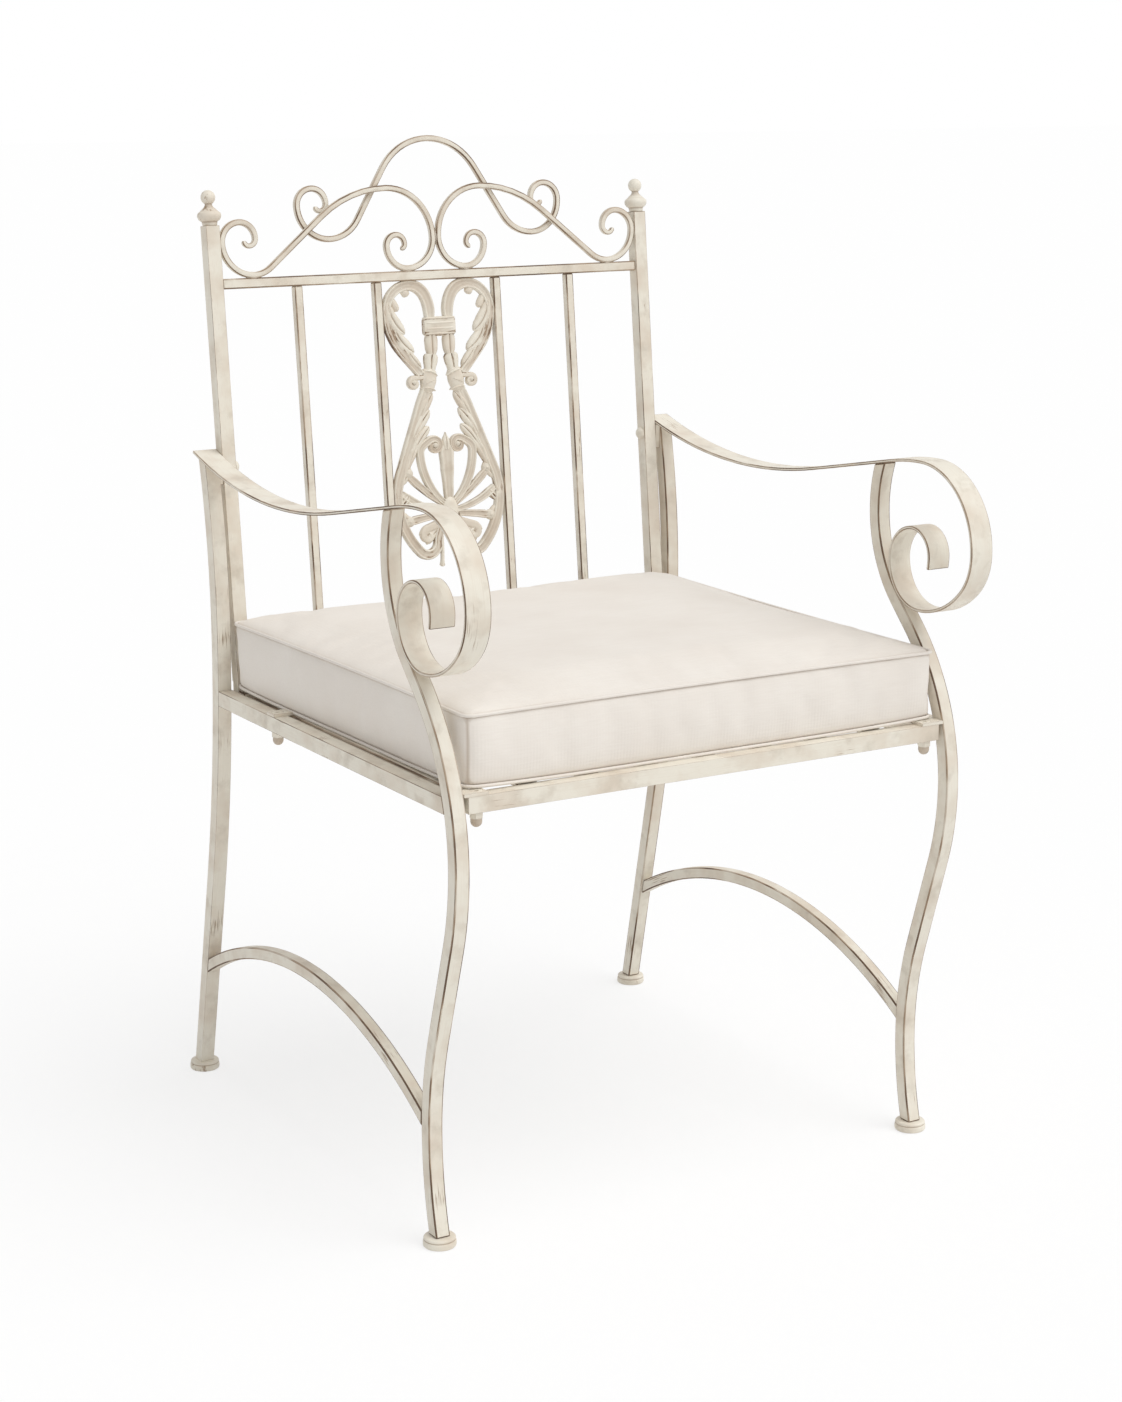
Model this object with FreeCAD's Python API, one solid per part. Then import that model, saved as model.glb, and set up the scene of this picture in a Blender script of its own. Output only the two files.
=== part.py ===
import FreeCAD, Part
import math
import os

# Bolted garden armchair of bent square bar, with a cast splat, strap arms and a loose box cushion.
# Millimetres, +Z up. The chair faces -Y. Left and right are the sitter's: left is +X.
# The origin is on the floor, in the middle of the whole chair's width and depth.

Vector = FreeCAD.Vector
UP = Vector(0, 0, 1)

# Bar sizes
leg_bar = 14.0
stretcher_bar = 12.0
rail_bar = 15.0
post_bar = 14.0
cross_rail_bar = 10.0
spindle_bar = 8.5
crest_bar = 6.0
strap_thick = 3.0
flat_thick = 3.0
slat_width = 20.0

# Seat panel
seat_width = 501.4
seat_depth = 464.0
seat_front = -293.7
seat_top = 417.4
seat_side_gap = 4.4
slat_count = 7
brace_share = 0.5

# Side frames. Depths are taken back from the seat's front edge, or behind its rear edge.
foot_radius = 15.0
foot_height = 9.5
front_foot_back = 38.7
rear_foot_behind = 84.7
ankle_back = 50.7
ankle_z = 102.0
knee_ahead = 2.3
knee_z = 354.0
waist_back = 113.2
waist_z = 608.0
front_leg_top_back = 105.7
ankle_radius = 300.0
knee_low_radius = 240.0
knee_high_radius = 210.0
waist_radius = 123.0
rear_bend_z = 478.0
rear_bend_behind = 11.7
rear_low_radius = 1225.0
stretcher_top = 186.5
stretcher_radius = 452.0

# Arm strap, drawn from its rear end forward
arm_rear_z = 650.0
arm_rear_overhang = 8.0
arm_low_share = 0.687
arm_low_z = 621.0
arm_crown_back = 38.7
arm_crown_z = 658.5
arm_rise_radius = 620.0
arm_crown_radius = 240.0
arm_front_radius = 77.0
arm_chin_radius = 52.6
arm_throat_radius = 85.7
arm_back_radius = 43.5
arm_curl_radius = 33.0
arm_eye_radius = 25.5
arm_tip_radius = 50.0
arm_tip_sweep = 12.0

# Back panel, drawn upright and then leaned about its foot
back_lean = 5.91
post_height = 464.5
spacer_thick = 5.2
spacer_height = 25.0
spacer_top_gap = 4.0
top_rail_drop = 61.0
bottom_rail_low = 30.0
outer_spindle_x = 155.0
inner_spindle_x = 68.0
round_sides = 20
finial_collar_radius = 11.65
finial_neck_radius = 3.6
finial_ball_radius = 7.25
finial_collar_height = 16.0
finial_height = 32.7

# Crest scrolls and crest arch
crest_seat = 0.5
scroll_gap = 0.3
scroll_outer_radii = (31.5, 19.4, 16.0, 7.0, 5.0)
scroll_foot_radius = 30.0
scroll_crest_radius = 115.0
scroll_shoulder_radius = 49.7
scroll_inner_radii = (30.0, 22.5, 11.0, 9.5, 4.5)
arch_rise = 130.5
arch_crown_radius = 61.5
arch_foot_radius = 38.0
arch_foot_x = 115.5
arch_foot_rise = 34.3
arch_volute_radii = (33.0, 16.6, 15.0, 7.0, 4.5)

# Cast splat. Its heights are taken down from the top rail, or up and down from the hub.
splat_thick = 7.0
splat_seat = 0.4
lobe_thick = 5.0
rib_thick = 5.5
loop_band = 9.5
loop_shoulder = 25.6
loop_end_radius = 45.0
band_bite = 1.0
knot_bite = 0.6
stem_heading = 98.0
stem_x = 10.5
stem_band = 10.6
arm_band = 10.4
arm_top_radius = 60.0
arm_low_radii = (78.0, 12.0, 12.0, 20.0)
arm_wide_drop = 217.5
arm_knot_offset = 2.5
arm_low_band = 9.4
arm_hub_bite = 1.8
arm_hub_drop = 4.0
collar_drop = 38.5
collar_height = 17.0
collar_side = 7.0
collar_thick = 10.0
collar_groove = 1.6
groove_places = (0.31, 0.63)
knot_x = 16.1
knot_drop = 99.5
knot_radius = 7.6
knot_height = 21.0
curl_x = 32.4
curl_band = 5.0
curl_radius = 5.8
curl_eye_drop = 4.35
curl_thick = 8.0
bead_inset = 1.4
bead_thick = 9.0
bead_radius = 6.4
hub_drop = 232.5
hub_radius = 8.8
hub_height = 26.0
leaf_rise = 78.0
leaf_half = 8.6
leaf_root_half = 4.6
leaf_shoulder = 14.0
leaf_thick = 6.0
scroll_x = 29.6
scroll_rise = 60.0
scroll_band = 6.4
scroll_hook_radius = 9.0
scroll_eye_radii = (7.5, 7.5, 4.2)
scroll_thick = 6.0
scroll_root_bite = 3.8
scroll_root_rise = 9.0
scroll_heading = 37.0
scroll_hook = 11.0
boss_thick = 6.5
tail_x = 10.2
tail_band = 4.8
tail_length = 43.0
tail_drop = 60.0
tail_heading = 268.0
tail_thick = 4.5

# Lobes and ribs of the splat, as shares of its half width.
# A lobe has its root, its tip and the bulge on its left and right, and a rib its heading and band.
loop_lobes = (((0.88, 3.03), (0.69, 2.53), 0.047, 0.171),
              ((0.80, 2.75), (0.536, 2.33), 0.047, 0.140),
              ((0.91, 3.235), (0.80, 3.017), 0.031, 0.125))
arm_lobes = (((0.374, 1.761), (0.514, 1.231), 0.047, 0.140),
             ((0.655, 0.951), (0.359, 1.372), 0.062, 0.078),
             ((0.733, 0.733), (0.483, 1.169), 0.047, 0.125))
ribs = (((0.094, 0.109), 33.0, (0.698, 0.592), 0.087),
        ((0.140, 0.016), 5.0, (0.811, 0.343), 0.097),
        ((0.125, -0.062), -4.0, (0.811, -0.265), 0.115),
        ((0.078, -0.156), -22.0, (0.452, -0.452), 0.103))
rib_bosses = (((0.711, 0.624), 0.081), ((0.413, -0.499), 0.084))

# Fixings, drawn with flats that stand in for their round shapes
fixing_sides = 12
bolt_radius = 3.0
bolt_clearance = 0.2
bolt_head_radius = 6.4
bolt_head_height = 5.5
nut_flats = 11.0
nut_hex_height = 6.0
nut_dome_inset = 0.4
nut_height = 14.0
thread_depth = 8.0
upper_bolt_drop = 16.0
front_bolt_inset = 11.3
rear_bolt_ahead = 113.3
plate_width = 16.0

# Cushion
cushion_gap = 0.3
cushion_side_gap = 9.6
cushion_front_inset = 10.7
cushion_rear_inset = 1.3
cushion_seam_low = 6.0
cushion_seam_high = 61.5
cushion_height = 73.0
cushion_corner = 14.0
cushion_waist = 7.0
cushion_side_draw = 2.5
cushion_rise = 46.0
crown_reach = 150.0
cushion_chords = 4
crown_steps = 5
side_steps = 4

# Places that follow from the sizes above
leg_x = seat_width / 2 + seat_side_gap + leg_bar / 2
leg_inner = leg_x - leg_bar / 2
leg_outer = leg_x + leg_bar / 2
post_x = leg_inner - spacer_thick - post_bar / 2
post_inner = post_x - post_bar / 2
strap_width = leg_bar + 2 * spacer_thick
rail_low = seat_top - rail_bar
rail_rear = seat_front + seat_depth
front_foot_y = seat_front + front_foot_back
rear_foot_y = rail_rear + rear_foot_behind
arm_crown_y = seat_front + arm_crown_back
rear_bend_y = rail_rear + rear_bend_behind
upper_bolt_z = arm_rear_z - upper_bolt_drop
lean = math.radians(back_lean)
back_foot_y = rail_rear + post_bar / 2 / math.cos(lean) - rail_bar * math.tan(lean)
top_rail_low = post_height - top_rail_drop
top_rail_high = top_rail_low + cross_rail_bar
splat_half = inner_spindle_x - spindle_bar / 2 + splat_seat
collar_high = top_rail_low - collar_drop
collar_low = collar_high - collar_height
knot_z = top_rail_low - knot_drop
hub_z = top_rail_low - hub_drop
cushion_half = leg_inner - cushion_side_gap
cushion_front = seat_front + cushion_front_inset
cushion_half_depth = (rail_rear - cushion_rear_inset - cushion_front) / 2
origin_y = (arm_crown_y - arm_front_radius - strap_thick / 2 + rear_foot_y + foot_radius) / 2

parts = {}


def unit(heading):
    """Direction of a heading in degrees."""
    angle = math.radians(heading)
    return math.cos(angle), math.sin(angle)


def left_of(heading):
    """Direction a quarter turn to the left of a heading."""
    return unit(heading + 90)


def heading_between(start, end):
    """Heading of the straight line from one point to another."""
    return math.degrees(math.atan2(end[1] - start[1], end[0] - start[0]))


def moved(point, direction, distance):
    """Point moved along a direction."""
    return point[0] + direction[0] * distance, point[1] + direction[1] * distance


class Segment:
    """A straight run, or an arc where sweep isn't 0. A sweep to the left is positive."""

    def __init__(self, start, heading, length, sweep=0.0):
        self.start = start
        self.heading = heading
        self.length = length
        self.sweep = sweep

    def at(self, share, side=0.0):
        """Point at a share of the run, moved to the left by side."""
        if self.sweep == 0:
            along = moved(self.start, unit(self.heading), self.length * share)
            return moved(along, left_of(self.heading), side)
        signed_radius = self.length / math.radians(self.sweep)
        centre = moved(self.start, left_of(self.heading), signed_radius)
        return moved(centre, left_of(self.heading + self.sweep * share), side - signed_radius)

    def edge(self, side, place):
        """Edge along the run, at a distance to its left."""
        first = place(self.at(0, side))
        last = place(self.at(1, side))
        if self.sweep == 0:
            return Part.LineSegment(first, last).toShape()
        return Part.Arc(first, place(self.at(0.5, side)), last).toShape()


class Path:
    """Tangent lines and arcs in a flat plane, drawn like a pen from a point and a heading."""

    def __init__(self, start, heading):
        self.point = start
        self.heading = heading
        self.segments = []

    def add(self, segment):
        self.segments.append(segment)
        self.point = segment.at(1)
        self.heading = segment.heading + segment.sweep
        return self

    def line(self, length):
        return self.add(Segment(self.point, self.heading, length))

    def arc(self, radius, sweep):
        return self.add(Segment(self.point, self.heading, radius * math.radians(abs(sweep)), sweep))

    def arc_to(self, point):
        """One arc from here, tangent to the heading, that ends at a point."""
        half = (heading_between(self.point, point) - self.heading + 180) % 360 - 180
        chord = math.dist(self.point, point)
        return self.arc(chord / 2 / math.sin(math.radians(abs(half))), 2 * half)

    def quarters(self, radii, side):
        """Quarter turns one after the other, to the left for side 1 and the right for -1."""
        for radius in radii:
            self.arc(radius, 90 * side)
        return self

    def turn_to(self, point, radius, side):
        """An arc and then a straight run that ends at a point."""
        centre = moved(self.point, left_of(self.heading), side * radius)
        distance = math.dist(centre, point)
        straight = heading_between(centre, point) + side * math.degrees(math.asin(radius / distance))
        self.arc(radius, side * ((straight - self.heading) * side % 360))
        return self.line(math.sqrt(distance ** 2 - radius ** 2))

    def s_bend(self, point, first_radius, second_radius, side):
        """Two opposite arcs with a straight run between, ending at a point with the same heading."""
        ahead, across = self.offset_of(point)
        limit = (ahead ** 2 + across ** 2) / (2 * abs(across))
        share = min(1.0, 0.999 * limit / (first_radius + second_radius))
        first = first_radius * share
        second = second_radius * share
        from_centre = moved(self.point, left_of(self.heading), side * first)
        to_centre = moved(point, left_of(self.heading), -side * second)
        distance = math.dist(from_centre, to_centre)
        tilt = math.degrees(math.asin((first + second) / distance))
        sweep = heading_between(from_centre, to_centre) + side * tilt - self.heading
        sweep = side * (sweep * side % 360)
        self.arc(first, sweep)
        self.line(math.sqrt(distance ** 2 - (first + second) ** 2))
        return self.arc(second, -sweep)

    def offset_of(self, point):
        """How far a point lies ahead and to the left."""
        step = (point[0] - self.point[0], point[1] - self.point[1])
        along = unit(self.heading)
        across = left_of(self.heading)
        return step[0] * along[0] + step[1] * along[1], step[0] * across[0] + step[1] * across[1]

    def turned_round(self):
        """The same path drawn from its end to its start."""
        path = Path(self.point, self.heading + 180)
        for segment in reversed(self.segments):
            path.add(Segment(segment.at(1), segment.heading + segment.sweep + 180, segment.length,
                             -segment.sweep))
        return path

    def mirrored(self):
        """The path's mirror image about the upright axis."""
        first = self.segments[0]
        path = Path((-first.start[0], first.start[1]), 180 - first.heading)
        for segment in self.segments:
            path.add(Segment((-segment.start[0], segment.start[1]), 180 - segment.heading,
                             segment.length, -segment.sweep))
        return path

    def followed_by(self, other):
        """This path and then another that starts where it ends."""
        path = Path(self.segments[0].start, self.segments[0].heading)
        for segment in self.segments + other.segments:
            path.add(segment)
        return path


def side_plane(point, across):
    """Point in a side frame: depth and height, at a distance across the chair."""
    return Vector(across, point[0], point[1])


def back_plane(point, across):
    """Point in the upright back panel: width and height, at a depth."""
    return Vector(point[0], across, point[1])


def face_of(edges):
    """Flat face inside a closed chain of edges."""
    return Part.Face(Part.Wire(edges))


def swept_flat(face, plane, low, high):
    """Solid made by moving a flat face from one depth of its plane to another."""
    return face.extrude(plane((0, 0), high) - plane((0, 0), low))


def bar(path, width, plane, low, high):
    """Bar of a given width along a path, from one depth of the plane to another."""
    def place(point):
        return plane(point, low)

    half = width / 2
    first = path.segments[0]
    last = path.segments[-1]
    edges = [segment.edge(half, place) for segment in path.segments]
    edges.append(Part.LineSegment(place(last.at(1, half)), place(last.at(1, -half))).toShape())
    edges.extend(segment.edge(-half, place) for segment in reversed(path.segments))
    edges.append(Part.LineSegment(place(first.at(0, -half)), place(first.at(0, half))).toShape())
    return swept_flat(face_of(edges), plane, low, high)


def outline(points, plane, low, high):
    """Prism with straight sides through points."""
    corners = [plane(point, low) for point in points]
    return swept_flat(Part.Face(Part.makePolygon(corners + corners[:1])), plane, low, high)


def leaf(base, tip, bulge_left, bulge_right, thick):
    """Pointed leaf between two points of the back panel, with a bulge on each side."""
    heading = heading_between(base, tip)
    middle = moved(base, unit(heading), math.dist(base, tip) / 2)
    edges = []
    for start, end, side in ((base, tip, bulge_left), (tip, base, -bulge_right)):
        through = moved(middle, left_of(heading), side)
        edges.append(Part.Arc(back_plane(start, -thick / 2), back_plane(through, -thick / 2),
                              back_plane(end, -thick / 2)).toShape())
    return swept_flat(face_of(edges), back_plane, -thick / 2, thick / 2)


def box(x_range, y_range, z_range):
    """Block between low and high values on each axis."""
    corner = Vector(x_range[0], y_range[0], z_range[0])
    size = [high - low for low, high in (x_range, y_range, z_range)]
    return Part.makeBox(size[0], size[1], size[2], corner)


def skinned(rings):
    """Solid with flat faces between closed rings of points, covered at both ends."""
    faces = [Part.Face(Part.makePolygon(ring)) for ring in (rings[0], rings[-1])]
    for low, high in zip(rings, rings[1:]):
        for index in range(len(low) - 1):
            flat = [low[index], low[index + 1], high[index + 1], high[index], low[index]]
            faces.append(Part.Face(Part.makePolygon(flat)))
    return Part.Solid(Part.Shell(faces)).removeSplitter()


def turned(points, foot, axis=UP, sides=round_sides):
    """Turned piece with flat sides from radius and height points, standing on a foot along an axis."""
    corners = [unit(index * 360 / sides) for index in range(sides + 1)]
    solid = skinned([[Vector(radius * x, radius * y, height) for x, y in corners]
                     for radius, height in points])
    if axis != UP:
        solid.rotate(Vector(0, 0, 0), UP.cross(axis), math.degrees(UP.getAngle(axis)))
    solid.translate(foot)
    return solid


def rod(radius, foot, axis, length):
    """Plain rod."""
    return turned([(radius, 0), (radius, length)], foot, axis, fixing_sides)


def largest(shape):
    """The biggest solid of a shape."""
    return max(shape.Solids, key=lambda solid: solid.Volume)


def fitted(shape, *neighbours):
    """Shape cut back to seat on its neighbours, with cut-off ends dropped."""
    for neighbour in neighbours:
        shape = shape.cut(neighbour)
    return largest(shape)


def joined(shapes):
    """One solid fused from several that overlap."""
    return shapes[0].multiFuse(shapes[1:]).removeSplitter()


def add_pair(name, shape):
    """Stores a left piece and its mirror image on the right."""
    parts["left_" + name] = shape
    parts["right_" + name] = shape.mirror(Vector(0, 0, 0), Vector(1, 0, 0))


def leaned(shape):
    """Back panel piece leaned back about the posts' feet, in its place on the chair."""
    placed = shape.copy()
    placed.rotate(Vector(0, 0, 0), Vector(-1, 0, 0), back_lean)
    placed.translate(Vector(0, back_foot_y, rail_low))
    return placed


def post_centre_y(z):
    """Depth of a back post's centreline at a height."""
    return back_foot_y + (z - rail_low) * math.tan(lean)


def front_leg_path():
    """S curve from the floor disc up to the arm, reaching a little past it."""
    foot = (front_foot_y, foot_height)
    ankle = (seat_front + ankle_back, ankle_z)
    path = Path(foot, 2 * heading_between(foot, ankle) - 90)
    path.arc_to(ankle)
    path.s_bend((seat_front - knee_ahead, knee_z), ankle_radius, knee_low_radius, 1)
    path.s_bend((seat_front + waist_back, waist_z), knee_high_radius, waist_radius, -1)
    path.arc_to((seat_front + front_leg_top_back, arm_rear_z))
    return path.line(leg_bar)


def rear_leg_path():
    """Straight splayed shank, a long bend forward and a gentle lean back under the arm."""
    foot = (rear_foot_y, foot_height)
    top = (post_centre_y(arm_rear_z), arm_rear_z)
    bend = (rear_bend_y, rear_bend_z)
    path = Path(bend, 270)
    path.turn_to(foot, rear_low_radius, 1)
    upper = Path(bend, 90)
    upper.arc_to(top)
    upper.line(leg_bar)
    return path.turned_round().followed_by(upper)


def arm_path():
    """Arm strap from its rear end forward, down round the front and into the volute."""
    rear = (post_centre_y(arm_rear_z) + arm_rear_overhang, arm_rear_z)
    low = (seat_front + seat_depth * arm_low_share, arm_low_z)
    path = Path(rear, 2 * heading_between(rear, low) - 180)
    path.arc_to(low)
    path.s_bend((arm_crown_y, arm_crown_z), arm_rise_radius, arm_crown_radius, -1)
    path.arc(arm_front_radius, 90)
    path.arc(arm_chin_radius, 45)
    path.arc(arm_throat_radius, 45)
    path.quarters((arm_back_radius, arm_curl_radius, arm_eye_radius), 1)
    return path.arc(arm_tip_radius, arm_tip_sweep)


def foot_disc(foot_y):
    """Round floor disc with a groove under its top ring."""
    profile = [(0.93, 0), (1, 0.15), (1, 0.57), (0.92, 0.66), (0.97, 0.76), (0.9, 1)]
    points = [(radius * foot_radius, height * foot_height) for radius, height in profile]
    return turned(points, Vector(leg_x, foot_y, 0))


def make_side_frames():
    """Legs, floor discs, arm strap, stretcher and side rail, welded flush at their outer faces."""
    low = leg_inner
    high = leg_outer
    below_feet = box((0, 2 * leg_x), (-seat_depth, seat_depth), (-seat_top, foot_height))
    arm = bar(arm_path(), strap_thick, side_plane, leg_x - strap_width / 2, leg_x + strap_width / 2)
    front_leg = bar(extended_down(front_leg_path()), leg_bar, side_plane, low, high)
    rear_leg = bar(extended_down(rear_leg_path()), leg_bar, side_plane, low, high)
    front_leg = fitted(front_leg, arm, below_feet)
    rear_leg = fitted(rear_leg, arm, below_feet)

    peak = stretcher_top - stretcher_bar / 2
    half_span = (rear_foot_y - front_foot_y) / 2
    half_sweep = math.degrees(math.asin(min(0.9, half_span / stretcher_radius)))
    spring_z = peak - stretcher_radius * (1 - math.cos(math.radians(half_sweep)))
    stretcher_path = Path((rear_foot_y, spring_z), 180 - half_sweep)
    stretcher_path.arc(stretcher_radius, 2 * half_sweep)
    stretcher = bar(stretcher_path, stretcher_bar, side_plane, high - stretcher_bar, high)
    side_rail = box((high - rail_bar, high), (seat_front, rear_bend_y), (rail_low, seat_top))
    for path in (front_leg_path(), rear_leg_path()):
        across_rails = bar(path, leg_bar, side_plane, 0, high)
        side_rail = middle_of(side_rail.cut(across_rails))
        stretcher = middle_of(stretcher.cut(across_rails))

    add_pair("arm_strap", arm)
    add_pair("front_leg", front_leg)
    add_pair("rear_leg", rear_leg)
    add_pair("stretcher", stretcher)
    add_pair("side_rail", side_rail)
    add_pair("front_foot", foot_disc(front_foot_y))
    add_pair("rear_foot", foot_disc(rear_foot_y))


def extended_down(path):
    """The path with a straight start added below its first point."""
    first = path.segments[0]
    start = moved(first.start, unit(first.heading), -leg_bar)
    return Path(start, first.heading).line(leg_bar).followed_by(path)


def middle_of(shape):
    """The solid that lies between the legs."""
    return min(shape.Solids, key=lambda solid: abs(solid.CenterOfMass.y))


def make_seat_panel():
    """Four rails, flat slats between the front and rear rail, and a cross brace below the slats."""
    half = seat_width / 2
    inner_front = seat_front + rail_bar
    inner_rear = rail_rear - rail_bar
    height = (rail_low, seat_top)
    parts["seat_front_rail"] = box((-half, half), (seat_front, inner_front), height)
    parts["seat_rear_rail"] = box((-half, half), (inner_rear, rail_rear), height)
    add_pair("seat_edge_rail", box((half - rail_bar, half), (inner_front, inner_rear), height))
    slat_low = seat_top - flat_thick
    slat_gap = (seat_width - 2 * rail_bar - slat_count * slat_width) / (slat_count + 1)
    for index in range(slat_count):
        centre = (index - (slat_count - 1) / 2) * (slat_width + slat_gap)
        parts["seat_slat_%d" % (index + 1)] = box((centre - slat_width / 2, centre + slat_width / 2),
                                                  (inner_front, inner_rear), (slat_low, seat_top))
    brace_y = inner_front + (inner_rear - inner_front) * brace_share
    parts["seat_cross_brace"] = box((rail_bar - half, half - rail_bar),
                                    (brace_y - slat_width / 2, brace_y + slat_width / 2),
                                    (slat_low - flat_thick, slat_low))


def crest_scroll_path():
    """S scroll that stands on the top rail, from the outer volute's eye to the inner volute's eye."""
    foot_z = top_rail_high + crest_bar / 2 - crest_seat
    foot = (post_inner - crest_bar / 2 + crest_seat - scroll_outer_radii[0], foot_z)
    outer = Path(foot, 0).quarters(scroll_outer_radii, 1)
    crown = (scroll_gap / 2 + crest_bar / 2 + scroll_shoulder_radius,
             foot_z + scroll_inner_radii[0] + scroll_shoulder_radius)
    inner = Path(foot, 180)
    inner.s_bend(crown, scroll_foot_radius, scroll_crest_radius, -1)
    inner.arc(scroll_shoulder_radius, 90)
    inner.quarters(scroll_inner_radii, 1)
    return outer.turned_round().followed_by(inner)


def crest_arch_path():
    """One bar over the middle of the crest, with a volute at each end."""
    half = Path((0, top_rail_high + arch_rise), 0)
    foot = (arch_foot_x, top_rail_high + arch_foot_rise)
    half.s_bend(foot, arch_crown_radius, arch_foot_radius, -1)
    half.quarters(arch_volute_radii, 1)
    return half.mirrored().turned_round().followed_by(half)


def finial(height):
    """Turned post cap: bell collar, neck and ball."""
    collar = [(0.82, 0.16), (1, 0.46), (1, 0.58), (0.7, 0.8)]
    points = [(post_bar / 2, 0)]
    points.extend((radius * finial_collar_radius, z * finial_collar_height) for radius, z in collar)
    points.append((finial_neck_radius, finial_collar_height))
    for angle in (-60, -30, 0, 30, 60):
        across, up = unit(angle)
        points.append((finial_ball_radius * across, finial_height - finial_ball_radius * (1 - up)))
    points.append((finial_ball_radius / 5, finial_height))
    return turned(points, Vector(post_x, 0, height))


def make_back_panel():
    """Posts with finials, top and bottom rail, spindles, crest scrolls and crest arch."""
    half_post = post_bar / 2
    half_cross = cross_rail_bar / 2
    half_spindle = spindle_bar / 2
    rear_rail = parts["seat_rear_rail"]
    post = box((post_inner, post_inner + post_bar), (-half_post, half_post), (0, post_height))
    add_pair("back_post", fitted(leaned(post), rear_rail))
    add_pair("finial", leaned(finial(post_height)))
    rails = {}
    for name, low in (("top", top_rail_low), ("bottom", bottom_rail_low)):
        rails[name] = box((-post_inner, post_inner), (-half_cross, half_cross), (low, low + cross_rail_bar))
        parts["back_%s_rail" % name] = leaned(rails[name])
    spindle_height = (bottom_rail_low + cross_rail_bar, top_rail_low)
    spindles = []
    for name, centre in (("outer", outer_spindle_x), ("inner", inner_spindle_x)):
        spindle = box((centre - half_spindle, centre + half_spindle), (-half_spindle, half_spindle),
                      spindle_height)
        spindles.append(spindle)
        add_pair(name + "_spindle", leaned(spindle))
    scroll = bar(crest_scroll_path(), crest_bar, back_plane, -crest_bar, 0)
    add_pair("crest_scroll", leaned(fitted(scroll, rails["top"], post)))
    parts["crest_arch"] = leaned(bar(crest_arch_path(), crest_bar, back_plane, 0, crest_bar))
    splat = make_splat()
    inner = spindles[1]
    mirror = inner.mirror(Vector(0, 0, 0), Vector(1, 0, 0))
    parts["back_splat"] = leaned(fitted(splat, rails["top"], inner, mirror))


def ribbon(path, width, thick):
    """Cast band of the splat, centred on the panel's depth."""
    return bar(path, width, back_plane, -thick / 2, thick / 2)


def button(centre, radius, thick):
    """Round boss of the splat, its axis through the panel."""
    return rod(radius, back_plane(centre, -thick / 2), Vector(0, 1, 0), thick)


def barrel(centre, radius, height):
    """Knot with a swollen middle, upright in the panel."""
    profile = [(0.72, 0), (0.98, 0.25), (1, 0.5), (0.98, 0.75), (0.72, 1)]
    points = [(share * radius, z * height) for share, z in profile]
    return turned(points, Vector(centre[0], 0, centre[1] - height / 2), UP, fixing_sides)


def spot(place):
    """Point of the panel from shares of the splat's half width, across and above the hub."""
    return place[0] * splat_half, hub_z + place[1] * splat_half


def lobe(shares):
    """One leaf lobe of the splat from its shares."""
    root, tip, left, right = shares
    return leaf(spot(root), spot(tip), left * splat_half, right * splat_half, lobe_thick)


def splat_lyre():
    """Upper loop, stem, knot and side curl of the left half."""
    loop_top = top_rail_low + splat_seat - loop_band / 2
    loop_side = splat_half - loop_band / 2
    loop_turn = loop_side - loop_shoulder - stem_x
    loop = Path((stem_x, collar_high - band_bite), 90)
    loop.line(loop_top - loop_turn - collar_high + band_bite)
    loop.arc(loop_turn, -90)
    loop.arc(loop_shoulder, -90)
    loop.turn_to((knot_x + knot_radius - knot_bite, knot_z + knot_height / 4), loop_end_radius, -1)
    stem = Path((knot_x - band_bite, knot_z), stem_heading).arc_to((stem_x, collar_low + band_bite))
    curl = Path((knot_x, knot_z - band_bite), 0).line(curl_x - knot_x)
    curl_eye = (curl_x, knot_z - curl_eye_drop)
    bead = ((stem_x + knot_x) / 2 - bead_inset, collar_low - knot_height)
    return [
        ribbon(loop, loop_band, splat_thick),
        ribbon(stem, stem_band, splat_thick),
        ribbon(curl, curl_band, rib_thick),
        barrel((knot_x, knot_z), knot_radius, knot_height),
        button(curl_eye, curl_radius, curl_thick),
        button(bead, bead_radius, bead_thick),
    ] + [lobe(shares) for shares in loop_lobes]


def splat_body():
    """Long outer arm with its lower curl, the tail and the lobes inside the arm, left half."""
    widest = (splat_half - arm_band / 2, top_rail_low - arm_wide_drop)
    flank, heel, toe, rise = arm_low_radii
    upper = Path(widest, 90)
    upper.turn_to((knot_x + arm_knot_offset, knot_z - knot_radius), arm_top_radius, 1)
    lower = Path(widest, 270).arc(flank, -45).arc(heel, -45).arc(toe, -90)
    lower.turn_to((hub_radius - arm_hub_bite, hub_z - arm_hub_drop), rise, 1)
    tail = Path((tail_x, hub_z - tail_drop + tail_length), tail_heading).line(tail_length)
    return [
        ribbon(upper, arm_band, splat_thick),
        ribbon(lower, arm_low_band, splat_thick),
        ribbon(tail, tail_band, tail_thick),
    ] + [lobe(shares) for shares in arm_lobes]


def splat_palmette():
    """C scroll, ribs and bosses that fan out from the hub, left half."""
    scroll = Path((hub_radius - scroll_root_bite, hub_z + scroll_root_rise), scroll_heading)
    scroll.arc_to((scroll_x, hub_z + scroll_rise))
    hook = (scroll_x - scroll_hook, hub_z + scroll_rise + scroll_hook)
    scroll.turn_to(hook, scroll_hook_radius, 1)
    scroll.quarters(scroll_eye_radii, 1)
    pieces = [ribbon(scroll, scroll_band, scroll_thick)]
    for start, heading, end, band in ribs:
        rib = Path(spot(start), heading).arc_to(spot(end))
        pieces.append(ribbon(rib, band * splat_half, rib_thick))
    for centre, radius in rib_bosses:
        pieces.append(button(spot(centre), radius * splat_half, boss_thick))
    return pieces


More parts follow.
